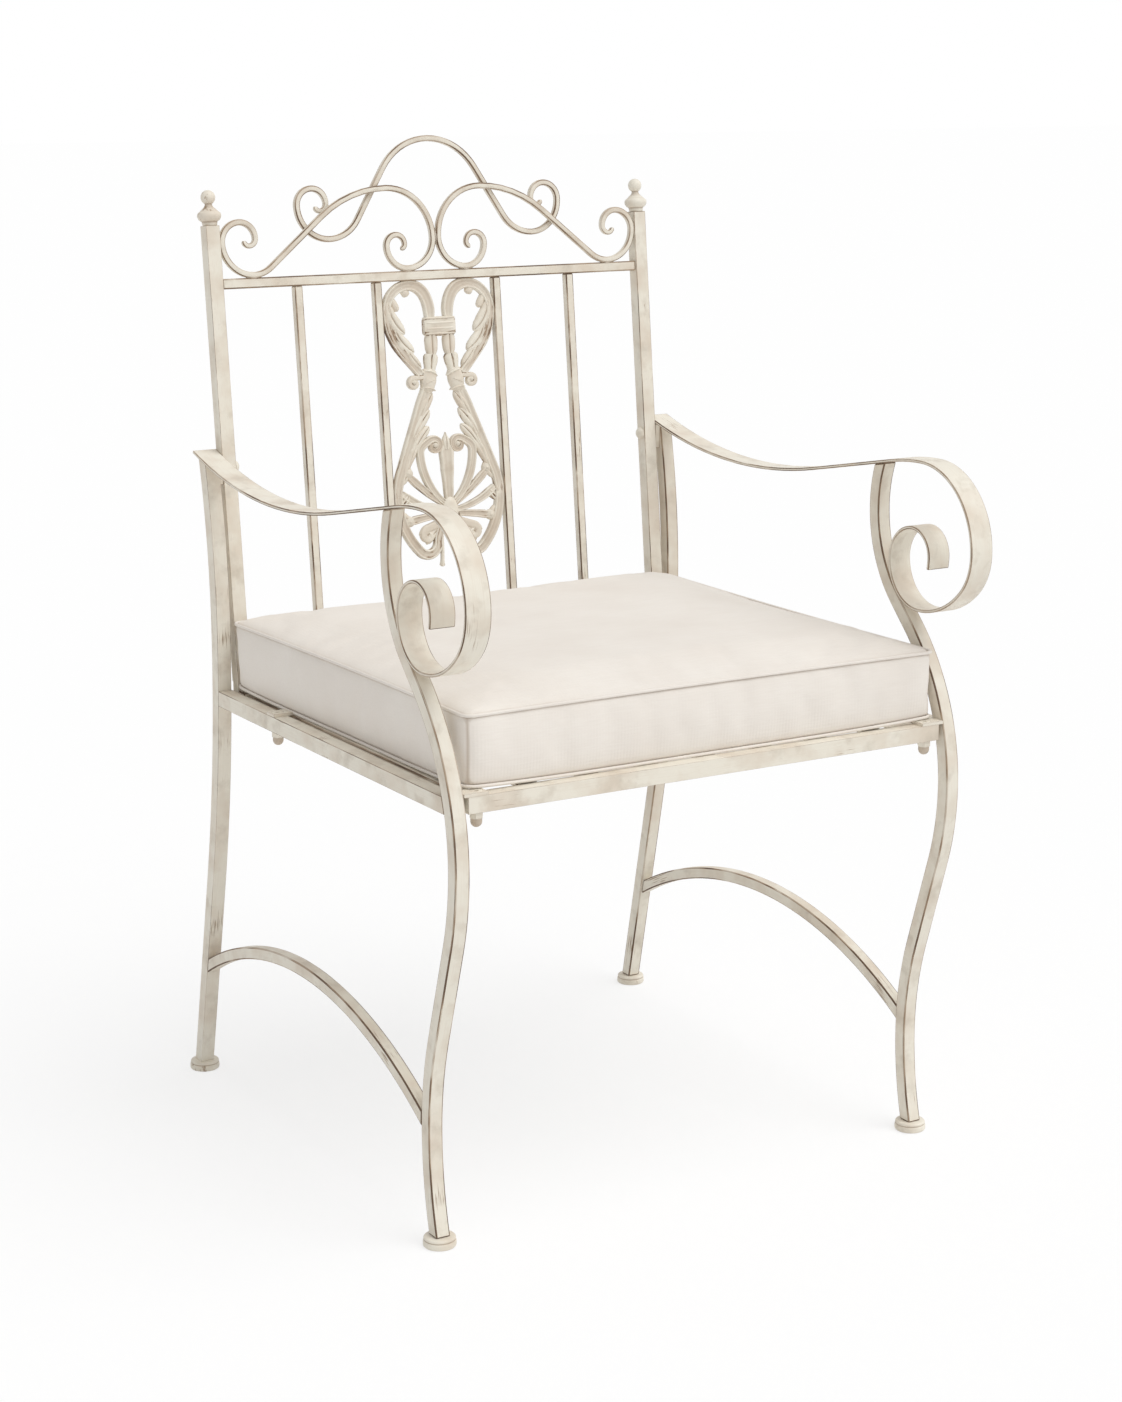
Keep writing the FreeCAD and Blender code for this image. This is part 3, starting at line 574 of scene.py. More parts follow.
@dataclass(frozen=True)
class RubbedPaint:
    """Antique cream alkyd paint, brushed along steel or cast iron and rubbed back at its edges.

    To the eye: a matt, slightly mottled cream with smoky patches, faint brush lines along the bar, and broken
    dark lines where the pad went through at the edges.
    """

    name: str
    wear: float = -0.2
    edge_wear: float = 1.8
    wear_gain: float = 0.24
    wear_start: float = 1.58
    edge_shade: float = 0.9
    # Strength of the painted shade, with some glazing, in the recesses; 0 leaves none
    recess_shade_and_glazing: float = 0.0
    cream: str = "#E9E3D5"
    warm: str = "#DBCFBE"
    smoky: str = "#C4B9A8"
    primer: str = "#A38C74"
    bare: str = "#66503E"
    mottle: float = 42.0
    streak_length: float = 34.0
    streak_width: float = 1.2
    brush_length: float = 30.0
    brush_width: float = 0.9
    peel: float = 1.6
    roughness: Point = (0.42, 0.62)
    rubbed_rough: float = 0.16
    relief: float = 0.12
    relief_strength: float = 0.35
    brush_relief: float = 0.6
    rubbed_relief: float = -0.8

    def make(self) -> bpy.types.Material:
        """Builds the material.

        Returns:
            The material with its nodes.
        """
        material = bpy.data.materials.new(self.name)
        material.use_nodes = True
        tree = material.node_tree
        shader = tree.nodes["Principled BSDF"]
        place = add_node(tree, "ShaderNodeAttribute", {"attribute_name": "drawn"}).outputs["Vector"]
        strokes = self.lines(tree, place, self.brush_length, self.brush_width, detail=2.0)
        rubbed, through = self.rubbing(tree, place)
        paint = self.tone(tree, place, strokes)
        paint = self.thin_edges(tree, place, paint)
        # Painted shade in the recesses, together with some glazing
        if self.recess_shade_and_glazing:
            paint = self.add_recess_shade_and_glazing(tree, paint)
        colour = add_node(tree, "ShaderNodeMixRGB", {"Color2": linear(self.primer)},
                          {"Fac": rubbed, "Color1": paint}).outputs[0]
        colour = add_node(tree, "ShaderNodeMixRGB", {"Color2": linear(self.bare)},
                          {"Fac": through, "Color1": colour}).outputs[0]
        tree.links.new(colour, shader.inputs["Base Color"])
        least, most = self.roughness
        rough = add_node(tree, "ShaderNodeMapRange", {"To Min": least, "To Max": most},
                         {"Value": strokes}).outputs[0]
        rough = add_node(tree, "ShaderNodeMath",
                         {"operation": "MULTIPLY_ADD", "1": self.rubbed_rough, "use_clamp": True},
                         {0: rubbed, 2: rough}).outputs[0]
        tree.links.new(rough, shader.inputs["Roughness"])
        peel = add_node(tree, "ShaderNodeTexNoise", {"Scale": per_metre(self.peel), "Detail": 1.0},
                        {"Vector": place}).outputs["Fac"]
        skin = add_node(tree, "ShaderNodeMath", {"operation": "MULTIPLY_ADD", "1": self.brush_relief},
                        {0: strokes, 2: peel}).outputs[0]
        skin = add_node(tree, "ShaderNodeMath", {"operation": "MULTIPLY_ADD", "1": self.rubbed_relief},
                        {0: rubbed, 2: skin}).outputs[0]
        bump = add_node(tree, "ShaderNodeBump",
                        {"Strength": self.relief_strength, "Distance": self.relief * MM},
                        {"Height": skin}).outputs[0]
        tree.links.new(bump, shader.inputs["Normal"])
        return material

    def lines(self, tree: bpy.types.NodeTree, place: bpy.types.NodeSocket, length: float, width: float,
              detail: float) -> bpy.types.NodeSocket:
        """Noise drawn out along the bar.

        Args:
            tree: The material's nodes.
            place: Where each point lay on the straight bar.
            length: Length of a line in millimetres.
            width: Width of a line in millimetres.
            detail: Octaves of finer noise.

        Returns:
            The noise, 0 to 1.
        """
        scale = (per_metre(width), per_metre(width), per_metre(length))
        stretched = add_node(tree, "ShaderNodeMapping", {"Scale": scale}, {"Vector": place}).outputs[0]
        return add_node(tree, "ShaderNodeTexNoise", {"Scale": 1.0, "Detail": detail, "Roughness": 0.6},
                        {"Vector": stretched}).outputs["Fac"]

    def tone(self, tree: bpy.types.NodeTree, place: bpy.types.NodeSocket,
             strokes: bpy.types.NodeSocket) -> bpy.types.NodeSocket:
        """Cream with warmer and smokier patches and faint brush lines.

        Args:
            tree: The material's nodes.
            place: Where each point lay on the straight bar.
            strokes: The brush lines, 0 to 1.

        Returns:
            The paint's colour.
        """
        patches = add_node(tree, "ShaderNodeTexNoise",
                           {"Scale": per_metre(self.mottle), "Detail": 3.0, "Roughness": 0.55},
                           {"Vector": place}).outputs["Fac"]
        elsewhere = add_node(tree, "ShaderNodeMapping", {"Location": (0.37, 0.11, 0.53)},
                             {"Vector": place}).outputs[0]
        clouds = add_node(tree, "ShaderNodeTexNoise",
                          {"Scale": per_metre(self.mottle * 0.55), "Detail": 4.0, "Roughness": 0.6},
                          {"Vector": elsewhere}).outputs["Fac"]
        warmer = add_node(tree, "ShaderNodeMapRange", {"From Min": 0.44, "From Max": 0.68},
                          {"Value": patches}).outputs[0]
        smokier = add_node(tree, "ShaderNodeMapRange", {"From Min": 0.52, "From Max": 0.78, "To Max": 0.8},
                           {"Value": clouds}).outputs[0]
        lines = add_node(tree, "ShaderNodeMapRange", {"From Min": 0.52, "From Max": 0.8, "To Max": 0.5},
                         {"Value": strokes}).outputs[0]
        paint = add_node(tree, "ShaderNodeMixRGB",
                         {"Color1": linear(self.cream), "Color2": linear(self.warm)},
                         {"Fac": warmer}).outputs[0]
        paint = add_node(tree, "ShaderNodeMixRGB", {"Color2": linear(self.smoky)},
                         {"Fac": smokier, "Color1": paint}).outputs[0]
        return add_node(tree, "ShaderNodeMixRGB", {"Color2": linear(self.warm)},
                        {"Fac": lines, "Color1": paint}).outputs[0]

    def rubbing(self, tree: bpy.types.NodeTree,
                place: bpy.types.NodeSocket) -> tuple[bpy.types.NodeSocket, bpy.types.NodeSocket]:
        """Where the pad took the paint off: little on the faces, much along the edges, by stretches.

        Args:
            tree: The material's nodes.
            place: Where each point lay on the straight bar.

        Returns:
            How far the primer shows, and how far the bare metal shows.
        """
        streaks = self.lines(tree, place, self.streak_length, self.streak_width, detail=5.0)
        elsewhere = add_node(tree, "ShaderNodeMapping", {"Location": (0.91, 0.42, 0.17)},
                             {"Vector": place}).outputs[0]
        stretches = add_node(tree, "ShaderNodeTexNoise",
                             {"Scale": per_metre(self.mottle * 1.5), "Detail": 2.0},
                             {"Vector": elsewhere}).outputs["Fac"]
        both = add_node(tree, "ShaderNodeMath", {"operation": "MULTIPLY_ADD", "1": 1.5},
                        {0: stretches, 2: streaks}).outputs[0]
        edge = add_node(tree, "ShaderNodeAttribute", {"attribute_name": "arris"}).outputs["Fac"]
        more = add_node(tree, "ShaderNodeMath",
                        {"operation": "MULTIPLY_ADD", "1": self.wear_gain * (self.edge_wear - self.wear)},
                        {0: edge, 2: both}).outputs[0]
        limit = self.wear_start - self.wear_gain * self.wear
        rubbed = add_node(tree, "ShaderNodeMapRange", {"From Min": limit - 0.06, "From Max": limit + 0.05},
                          {"Value": more}).outputs[0]
        through = add_node(tree, "ShaderNodeMapRange", {"From Min": limit + 0.05, "From Max": limit + 0.2},
                           {"Value": more}).outputs[0]
        return rubbed, through

    def thin_edges(self, tree: bpy.types.NodeTree, place: bpy.types.NodeSocket,
                   paint: bpy.types.NodeSocket) -> bpy.types.NodeSocket:
        """Primer that shines through along the edges, where the paint lies thin, more in some stretches.

        Args:
            tree: The material's nodes.
            place: Where each point lay on the straight bar.
            paint: The paint's colour.

        Returns:
            The colour with its darker edges.
        """
        edge = add_node(tree, "ShaderNodeAttribute", {"attribute_name": "arris"}).outputs["Fac"]
        stretches = add_node(tree, "ShaderNodeTexNoise", {"Scale": per_metre(self.mottle), "Detail": 2.0},
                             {"Vector": place}).outputs["Fac"]
        ends = {"To Min": self.edge_shade * 0.3, "To Max": self.edge_shade}
        thinness = add_node(tree, "ShaderNodeMapRange", {"From Min": 0.35, "From Max": 0.65, **ends},
                            {"Value": stretches}).outputs[0]
        share = add_node(tree, "ShaderNodeMath", {"operation": "MULTIPLY"}, {0: edge, 1: thinness}).outputs[0]
        return add_node(tree, "ShaderNodeMixRGB", {"Color2": linear(self.primer)},
                        {"Fac": share, "Color1": paint}).outputs[0]

    def add_recess_shade_and_glazing(self, tree: bpy.types.NodeTree, paint: bpy.types.NodeSocket) -> bpy.types.NodeSocket:
        """Painted shade in the recesses of a casting or turned piece, together with the darker glazing left
        there.

        Args:
            tree: The material's nodes.
            paint: The paint's colour.

        Returns:
            The colour with its painted recess shade.
        """
        openness = add_node(tree, "ShaderNodeAttribute", {"attribute_name": "glaze"}).outputs["Fac"]
        # Darker where the mesh is less open: painted shade, with some glazing
        hollow = add_node(tree, "ShaderNodeMapRange",
                          {"From Min": 0.5, "From Max": 0.15, "To Max": self.recess_shade_and_glazing},
                          {"Value": openness}).outputs[0]
        return add_node(tree, "ShaderNodeMixRGB", {"Color2": linear(self.primer)},
                        {"Fac": hollow, "Color1": paint}).outputs[0]


class Finishes:
    """All finishes of the chair, each made once."""

    def __init__(self) -> None:
        """Makes the materials."""
        self.bar = RubbedPaint("brushed_cream_bar").make()
        # The casting and the turned pieces get painted shade, with some glazing, in their recesses
        self.cast = RubbedPaint("brushed_cream_casting", wear=-0.25, edge_wear=1.1, edge_shade=0.15,
                                recess_shade_and_glazing=0.6, streak_length=8.0, streak_width=1.6).make()
        self.lathe = RubbedPaint("brushed_cream_turned", wear=0.0, recess_shade_and_glazing=0.6, streak_length=8.0,
                                 streak_width=5.0).make()
        self.cloth = CanvasCloth("cushion_canvas").make()
        self.piping = CanvasCloth("cushion_piping", thread=1.1).make()


@dataclass(frozen=True)
class CanvasCloth:
    """Plain woven polyester canvas: soft, without gloss, with a fine even weave and painted shade beside its
    piping.
    """

    name: str
    colour: str = "#EEE8E0"
    shade: str = "#E2D9CF"
    # Painted shade beside the piping, and the stitch line at the corner seams
    seam: str = "#C2B3A4"
    thread: float = 1.6
    slub_length: float = 24.0
    slub_width: float = 1.2
    cloud: float = 70.0

    def make(self) -> bpy.types.Material:
        """Builds the material. The weave is drawn about three times as coarse as it is, so that it shows.

        Returns:
            The material with its nodes.
        """
        material = bpy.data.materials.new(self.name)
        material.use_nodes = True
        tree = material.node_tree
        shader = tree.nodes["Principled BSDF"]
        place = add_node(tree, "ShaderNodeTexCoord").outputs["Object"]
        threads = []
        for axis in ("X", "Y", "Z"):
            wave = add_node(tree, "ShaderNodeTexWave",
                            {"bands_direction": axis, "Scale": per_metre(self.thread) / 20 * math.pi,
                             "Distortion": 0.4, "Detail": 1.0, "Detail Scale": 2.0},
                            {"Vector": place})
            threads.append(wave.outputs["Fac"])
        weave = threads[0]
        for thread in threads[1:]:
            weave = add_node(tree, "ShaderNodeMath", {"operation": "ADD"}, {0: weave, 1: thread}).outputs[0]
        clouds = add_node(tree, "ShaderNodeTexNoise", {"Scale": per_metre(self.cloud), "Detail": 3.0},
                          {"Vector": place}).outputs["Fac"]
        scale = (per_metre(self.slub_length), per_metre(self.slub_width), per_metre(self.slub_width))
        drawn_out = add_node(tree, "ShaderNodeMapping", {"Scale": scale}, {"Vector": place}).outputs[0]
        slubs = add_node(tree, "ShaderNodeTexNoise", {"Scale": 1.0, "Detail": 2.0},
                         {"Vector": drawn_out}).outputs["Fac"]
        soft = add_node(tree, "ShaderNodeMapRange", {"From Min": 0.35, "From Max": 0.75, "To Max": 0.5},
                        {"Value": clouds}).outputs[0]
        colour = add_node(tree, "ShaderNodeMixRGB",
                          {"Color1": linear(self.colour), "Color2": linear(self.shade)},
                          {"Fac": soft}).outputs[0]
        thread_tone = add_node(tree, "ShaderNodeMapRange",
                               {"From Min": 0.3, "From Max": 0.8, "To Min": 0.0, "To Max": 0.35},
                               {"Value": slubs}).outputs[0]
        colour = add_node(tree, "ShaderNodeMixRGB", {"Color2": linear(self.shade)},
                          {"Fac": thread_tone, "Color1": colour}).outputs[0]
        # Darker line along the seams: painted shade beside the piping, the stitch line at the corners
        sewn = add_node(tree, "ShaderNodeAttribute", {"attribute_name": "sewn"}).outputs["Fac"]
        seam = add_node(tree, "ShaderNodeMapRange", {"From Min": 0.6, "To Max": 0.8},
                        {"Value": sewn}).outputs[0]
        colour = add_node(tree, "ShaderNodeMixRGB", {"Color2": linear(self.seam)},
                          {"Fac": seam, "Color1": colour}).outputs[0]
        tree.links.new(colour, shader.inputs["Base Color"])
        shader.inputs["Roughness"].default_value = 0.92
        shader.inputs["Sheen Weight"].default_value = 0.15
        shader.inputs["Sheen Roughness"].default_value = 0.6
        bump = add_node(tree, "ShaderNodeBump", {"Strength": 0.2, "Distance": 0.0002},
                        {"Height": weave}).outputs[0]
        bump = add_node(tree, "ShaderNodeBump", {"Strength": 0.12, "Distance": 0.0015},
                        {"Height": clouds, "Normal": bump}).outputs[0]
        tree.links.new(bump, shader.inputs["Normal"])
        return material


# Sub-assemblies


def node_end(node: str, end: int) -> Vector:
    """Middle of the underside, for end 0, or of the top, for end 1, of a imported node's box, in metres."""
    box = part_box(node)
    return Vector(((box[0][0] + box[1][0]) / 2, (box[0][1] + box[1][1]) / 2, box[end][2]))


def glaze(piece: bpy.types.Object) -> None:
    """Writes how open or hollow each place of a mesh is into a colour attribute named like this function, for
    painted recess shade.
    """
    select_only(piece)
    attribute = piece.data.color_attributes.new(name="glaze", type="BYTE_COLOR", domain="CORNER")
    piece.data.color_attributes.active_color = attribute
    bpy.ops.object.mode_set(mode="VERTEX_PAINT")
    bpy.ops.paint.vertex_color_dirt(blur_strength=1.0, blur_iterations=1, clean_angle=math.radians(120),
                                    dirt_angle=math.radians(60), dirt_only=False, normalize=True)
    bpy.ops.object.mode_set(mode="OBJECT")


class Part:
    """What the sub-assemblies share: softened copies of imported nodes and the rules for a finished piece."""

    body = FRAME_BODY
    # Degrees: bends under the first are flattened, edges over the second are rounded off
    flat_angle = 0.3
    edge_angle = 32.0
    smooth_angle = 40.0

    def __init__(self, finishes: Finishes) -> None:
        """Keeps the finishes at hand."""
        self.finishes = finishes

    def finish(self, piece: bpy.types.Object, slot: str, material: bpy.types.Material, *nodes: str) -> None:
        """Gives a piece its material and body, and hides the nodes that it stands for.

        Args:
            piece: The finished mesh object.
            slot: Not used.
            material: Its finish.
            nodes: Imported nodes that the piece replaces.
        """
        piece.data.materials.clear()
        piece.data.materials.append(material)
        names = [attribute.name for attribute in piece.data.attributes]
        if "drawn" not in names:
            write_drawn(piece, [tuple(vertex.co) for vertex in piece.data.vertices])
        if "arris" not in names:
            write_edges(piece, [0.0] * len(piece.data.loops))
        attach(piece, self.body)
        if nodes:
            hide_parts(*nodes)
        LOG.info("%s: %d faces on %s", piece.name, len(piece.data.polygons), self.body)

    def finish_turned(self, piece: bpy.types.Object, slot: str, node: str,
                      angle: float = smooth_angle) -> None:
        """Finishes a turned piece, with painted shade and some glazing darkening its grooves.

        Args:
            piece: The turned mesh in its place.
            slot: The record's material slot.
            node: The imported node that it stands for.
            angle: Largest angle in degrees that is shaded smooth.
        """
        smooth(piece, angle)
        glaze(piece)
        self.finish(piece, slot, self.finishes.lathe, node)

    def softened(self, node: str, edge: float, line: Line | None = None, plane: Matrix | None = None) -> None:
        """A packed bar with rounded edges, as drawn bar has, and worn paint on them.

        Args:
            node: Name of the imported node.
            edge: Width of the rounded edge in millimetres.
            line: Middle line of a bent bar.
            plane: Takes the line's plane to its place on the chair.
        """
        piece = copy_of(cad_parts[node], node + "_bar")
        piece.parent = None
        select_only(piece)
        bpy.ops.object.mode_set(mode="EDIT")
        bpy.ops.mesh.select_all(action="SELECT")
        bpy.ops.mesh.remove_doubles(threshold=NODE_MERGE)
        bpy.ops.mesh.dissolve_limited(angle_limit=math.radians(self.flat_angle))
        bpy.ops.object.mode_set(mode="OBJECT")
        piece.data.materials.clear()
        # The rounded edges go into a second slot until they are written down as edges
        for _ in range(2):
            piece.data.materials.append(self.finishes.bar)
        apply_modifier(piece, "BEVEL", width=edge * MM, segments=3, limit_method="ANGLE",
                       angle_limit=math.radians(self.edge_angle), material=1, harden_normals=False)
        smooth(piece, self.smooth_angle)
        apply_modifier(piece, "WEIGHTED_NORMAL", keep_sharp=True, weight=60)
        lay_out(piece, line, plane)
        edges = []
        for polygon in piece.data.polygons:
            edges += [float(polygon.material_index)] * polygon.loop_total
            polygon.material_index = 0
        write_edges(piece, edges)
        self.finish(piece, "frame_paint", self.finishes.bar, node)


@dataclass
class SideFrames:
    """Legs, strap arms, stretchers, side rails and floor discs of both sides."""

    finishes: Finishes
    bar_edge: float = 1.3
    strap_edge: float = 0.9
    foot_radius: float = 15.0
    foot_height: float = 9.5
    foot_steps: int = 48
    foot_shading: float = 50.0
    foot_profile: tuple[Point, ...] = (
        (0, 0), (0.55, 0), (0.86, 0), (0.94, 0.03), (0.985, 0.1), (1, 0.2), (1, 0.5), (0.985, 0.58),
        (0.95, 0.63), (0.925, 0.68), (0.945, 0.74), (0.965, 0.78), (0.96, 0.87), (0.925, 0.95), (0.86, 1),
        (0.5, 1), (0, 1))
    front_foot: Point = (-255.0, 9.5)
    ankle: Point = (-243.0, 102.0)
    knee: Point = (-296.0, 354.0)
    waist: Point = (-180.5, 608.0)
    front_top: Point = (-188.0, 650.0)
    leg_radii: tuple[float, ...] = (300.0, 240.0, 210.0, 123.0)
    rear_foot: Point = (255.0, 9.5)
    rear_bend: Point = (182.0, 478.0)
    rear_top: Point = (201.4, 650.0)
    rear_radius: float = 1225.0
    arm_rear: Point = (209.4, 650.0)
    arm_low: Point = (25.1, 621.0)
    arm_crown: Point = (-255.0, 658.5)
    arm_radii: tuple[float, ...] = (620.0, 240.0)
    arm_turns: tuple[Point, ...] = ((77.0, 90.0), (52.6, 45.0), (85.7, 45.0), (43.5, 90.0), (33.0, 90.0),
                                    (25.5, 90.0), (50.0, 12.0))
    stretcher_top: float = 180.5
    stretcher_radius: float = 452.0

    def lines(self) -> dict[str, Line]:
        """Middle lines of the bent bars, from front to rear and up, in the side plane."""
        front = Line(self.front_foot, 2 * heading_between(self.front_foot, self.ankle) - 90)
        front.arc_to(self.ankle)
        front.s_bend(self.knee, self.leg_radii[0], self.leg_radii[1], 1)
        front.s_bend(self.waist, self.leg_radii[2], self.leg_radii[3], -1).arc_to(self.front_top)
        shank = Line(self.rear_bend, 270).turn_to(self.rear_foot, self.rear_radius, 1)
        rear = shank.turned_round().followed_by(Line(self.rear_bend, 90).arc_to(self.rear_top))
        arm = Line(self.arm_rear, 2 * heading_between(self.arm_rear, self.arm_low) - 180).arc_to(self.arm_low)
        arm.s_bend(self.arm_crown, self.arm_radii[0], self.arm_radii[1], -1)
        for radius, sweep in self.arm_turns:
            arm.arc(radius, sweep)
        half = math.degrees(math.asin(self.rear_foot[0] / self.stretcher_radius))
        spring = self.stretcher_top - self.stretcher_radius * (1 - math.cos(math.radians(half)))
        stretcher = Line((self.rear_foot[0], spring), 180 - half).arc(self.stretcher_radius, 2 * half)
        return {"front_leg": front, "rear_leg": rear, "arm_strap": arm, "stretcher": stretcher}

    def build(self) -> None:
        """Builds both side frames."""
        part = Part(self.finishes)
        plane = Matrix(((0, 0, 1, 0), (1, 0, 0, BackPlane.row_y * MM), (0, 1, 0, 0), (0, 0, 0, 1)))
        for side in SIDES:
            for name, line in self.lines().items():
                edge = self.strap_edge if name == "arm_strap" else self.bar_edge
                part.softened(f"{side}_{name}", edge, line, plane)
            part.softened(f"{side}_side_rail", self.bar_edge)
            for name in ("front_foot", "rear_foot"):
                self.foot(part, f"{side}_{name}")

    def foot(self, part: Part, node: str) -> None:
        """One floor disc: a turned pad with a groove under its top ring.

        Args:
            part: The shared rules.
            node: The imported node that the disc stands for.
        """
        profile = [(radius * self.foot_radius, height * self.foot_height)
                   for radius, height in self.foot_profile]
        piece = turned(node + "_disc", profile, self.foot_steps)
        placed(piece, Matrix.Translation(node_end(node, 0)))
        part.finish_turned(piece, "frame_paint", node, self.foot_shading)


@dataclass
class SeatPanel:
    """Rails, slats and brace of the seat."""

    finishes: Finishes
    slats: int = 7
    rail_edge: float = 1.3
    slat_edge: float = 0.7

    def build(self) -> None:
        """Builds the seat panel."""
        part = Part(self.finishes)
        for node in ("seat_front_rail", "seat_rear_rail"):
            part.softened(node, self.rail_edge)
        part.softened("seat_cross_brace", self.slat_edge)
        for side in SIDES:
            part.softened(f"{side}_seat_edge_rail", self.rail_edge)
        for index in range(1, self.slats + 1):
            part.softened(f"seat_slat_{index}", self.slat_edge)


@dataclass
class BackPlane:
    """Where the back panel's drawing stands: drawn upright, leaned about the posts' feet."""

    lean: float = 5.91
    foot_y: float = 175.79
    foot_z: float = 402.4
    row_y: float = 31.75

    def foot(self) -> Matrix:
        """Takes the origin to the middle of the panel's foot."""
        return Matrix.Translation(Vector((0, (self.foot_y + self.row_y) * MM, self.foot_z * MM)))

    def matrix(self) -> Matrix:
        """Takes the drawing plane, X across and Y up, to its place on the chair."""
        return self.foot() @ Matrix.Rotation(math.radians(90 - self.lean), 4, "X")

    def upright(self) -> Matrix:
        """Takes a piece that stands on the origin to the leaned panel's foot."""
        return self.foot() @ Matrix.Rotation(math.radians(-self.lean), 4, "X")


@dataclass
class BackPanel:
    """Posts with finials, rails and spindles."""

    finishes: Finishes
    plane: BackPlane
    post_x: float = 242.9
    post_height: float = 464.5
    post_edge: float = 1.4
    spindle_edge: float = 1.15
    rail_edge: float = 1.3
    ball: float = 7.05
    ball_z: float = 26.9
    ball_angles: tuple[int, ...] = tuple(range(-60, 90, 10))
    finial_steps: int = 40
    finial_shading: float = 60.0
    collar_profile: tuple[Point, ...] = (
        (0, 0), (6.6, 0), (7.2, 0.5), (7.4, 2.4), (7.5, 3.6), (8.2, 4.3), (9.9, 5.4), (11.0, 7.0),
        (11.6, 8.8), (11.6, 10.2), (11.2, 11.6), (10.2, 12.8), (8.9, 13.7), (8.4, 14.2), (7.0, 15.6),
        (5.3, 17.0), (4.3, 18.2), (3.7, 19.4), (3.5, 20.4))

    def build(self) -> None:
        """Builds the posts, rails, spindles and finials."""
        part = Part(self.finishes)
        for side in SIDES:
            part.softened(f"{side}_back_post", self.post_edge)
            for name in ("outer_spindle", "inner_spindle"):
                part.softened(f"{side}_{name}", self.spindle_edge)
            self.finial(part, side)
        for node in ("back_top_rail", "back_bottom_rail"):
            part.softened(node, self.rail_edge)

    def finial(self, part: Part, side: str) -> None:
        """Turned cap of a post: skirt, bell collar, neck and ball.

        Args:
            part: The shared rules.
            side: left or right.
        """
        profile = list(self.collar_profile)
        for angle in self.ball_angles:
            across, up = unit(angle)
            profile.append((self.ball * across, self.ball_z + self.ball * up))
        profile.append((0, self.ball_z + self.ball))
        post_x = self.post_x * (1 if side == "left" else -1) * MM
        top = Matrix.Translation(Vector((post_x, 0, self.post_height * MM)))
        piece = placed(turned(f"{side}_finial_cap", profile, self.finial_steps), self.plane.upright() @ top)
        part.finish_turned(piece, "frame_paint", f"{side}_finial", self.finial_shading)


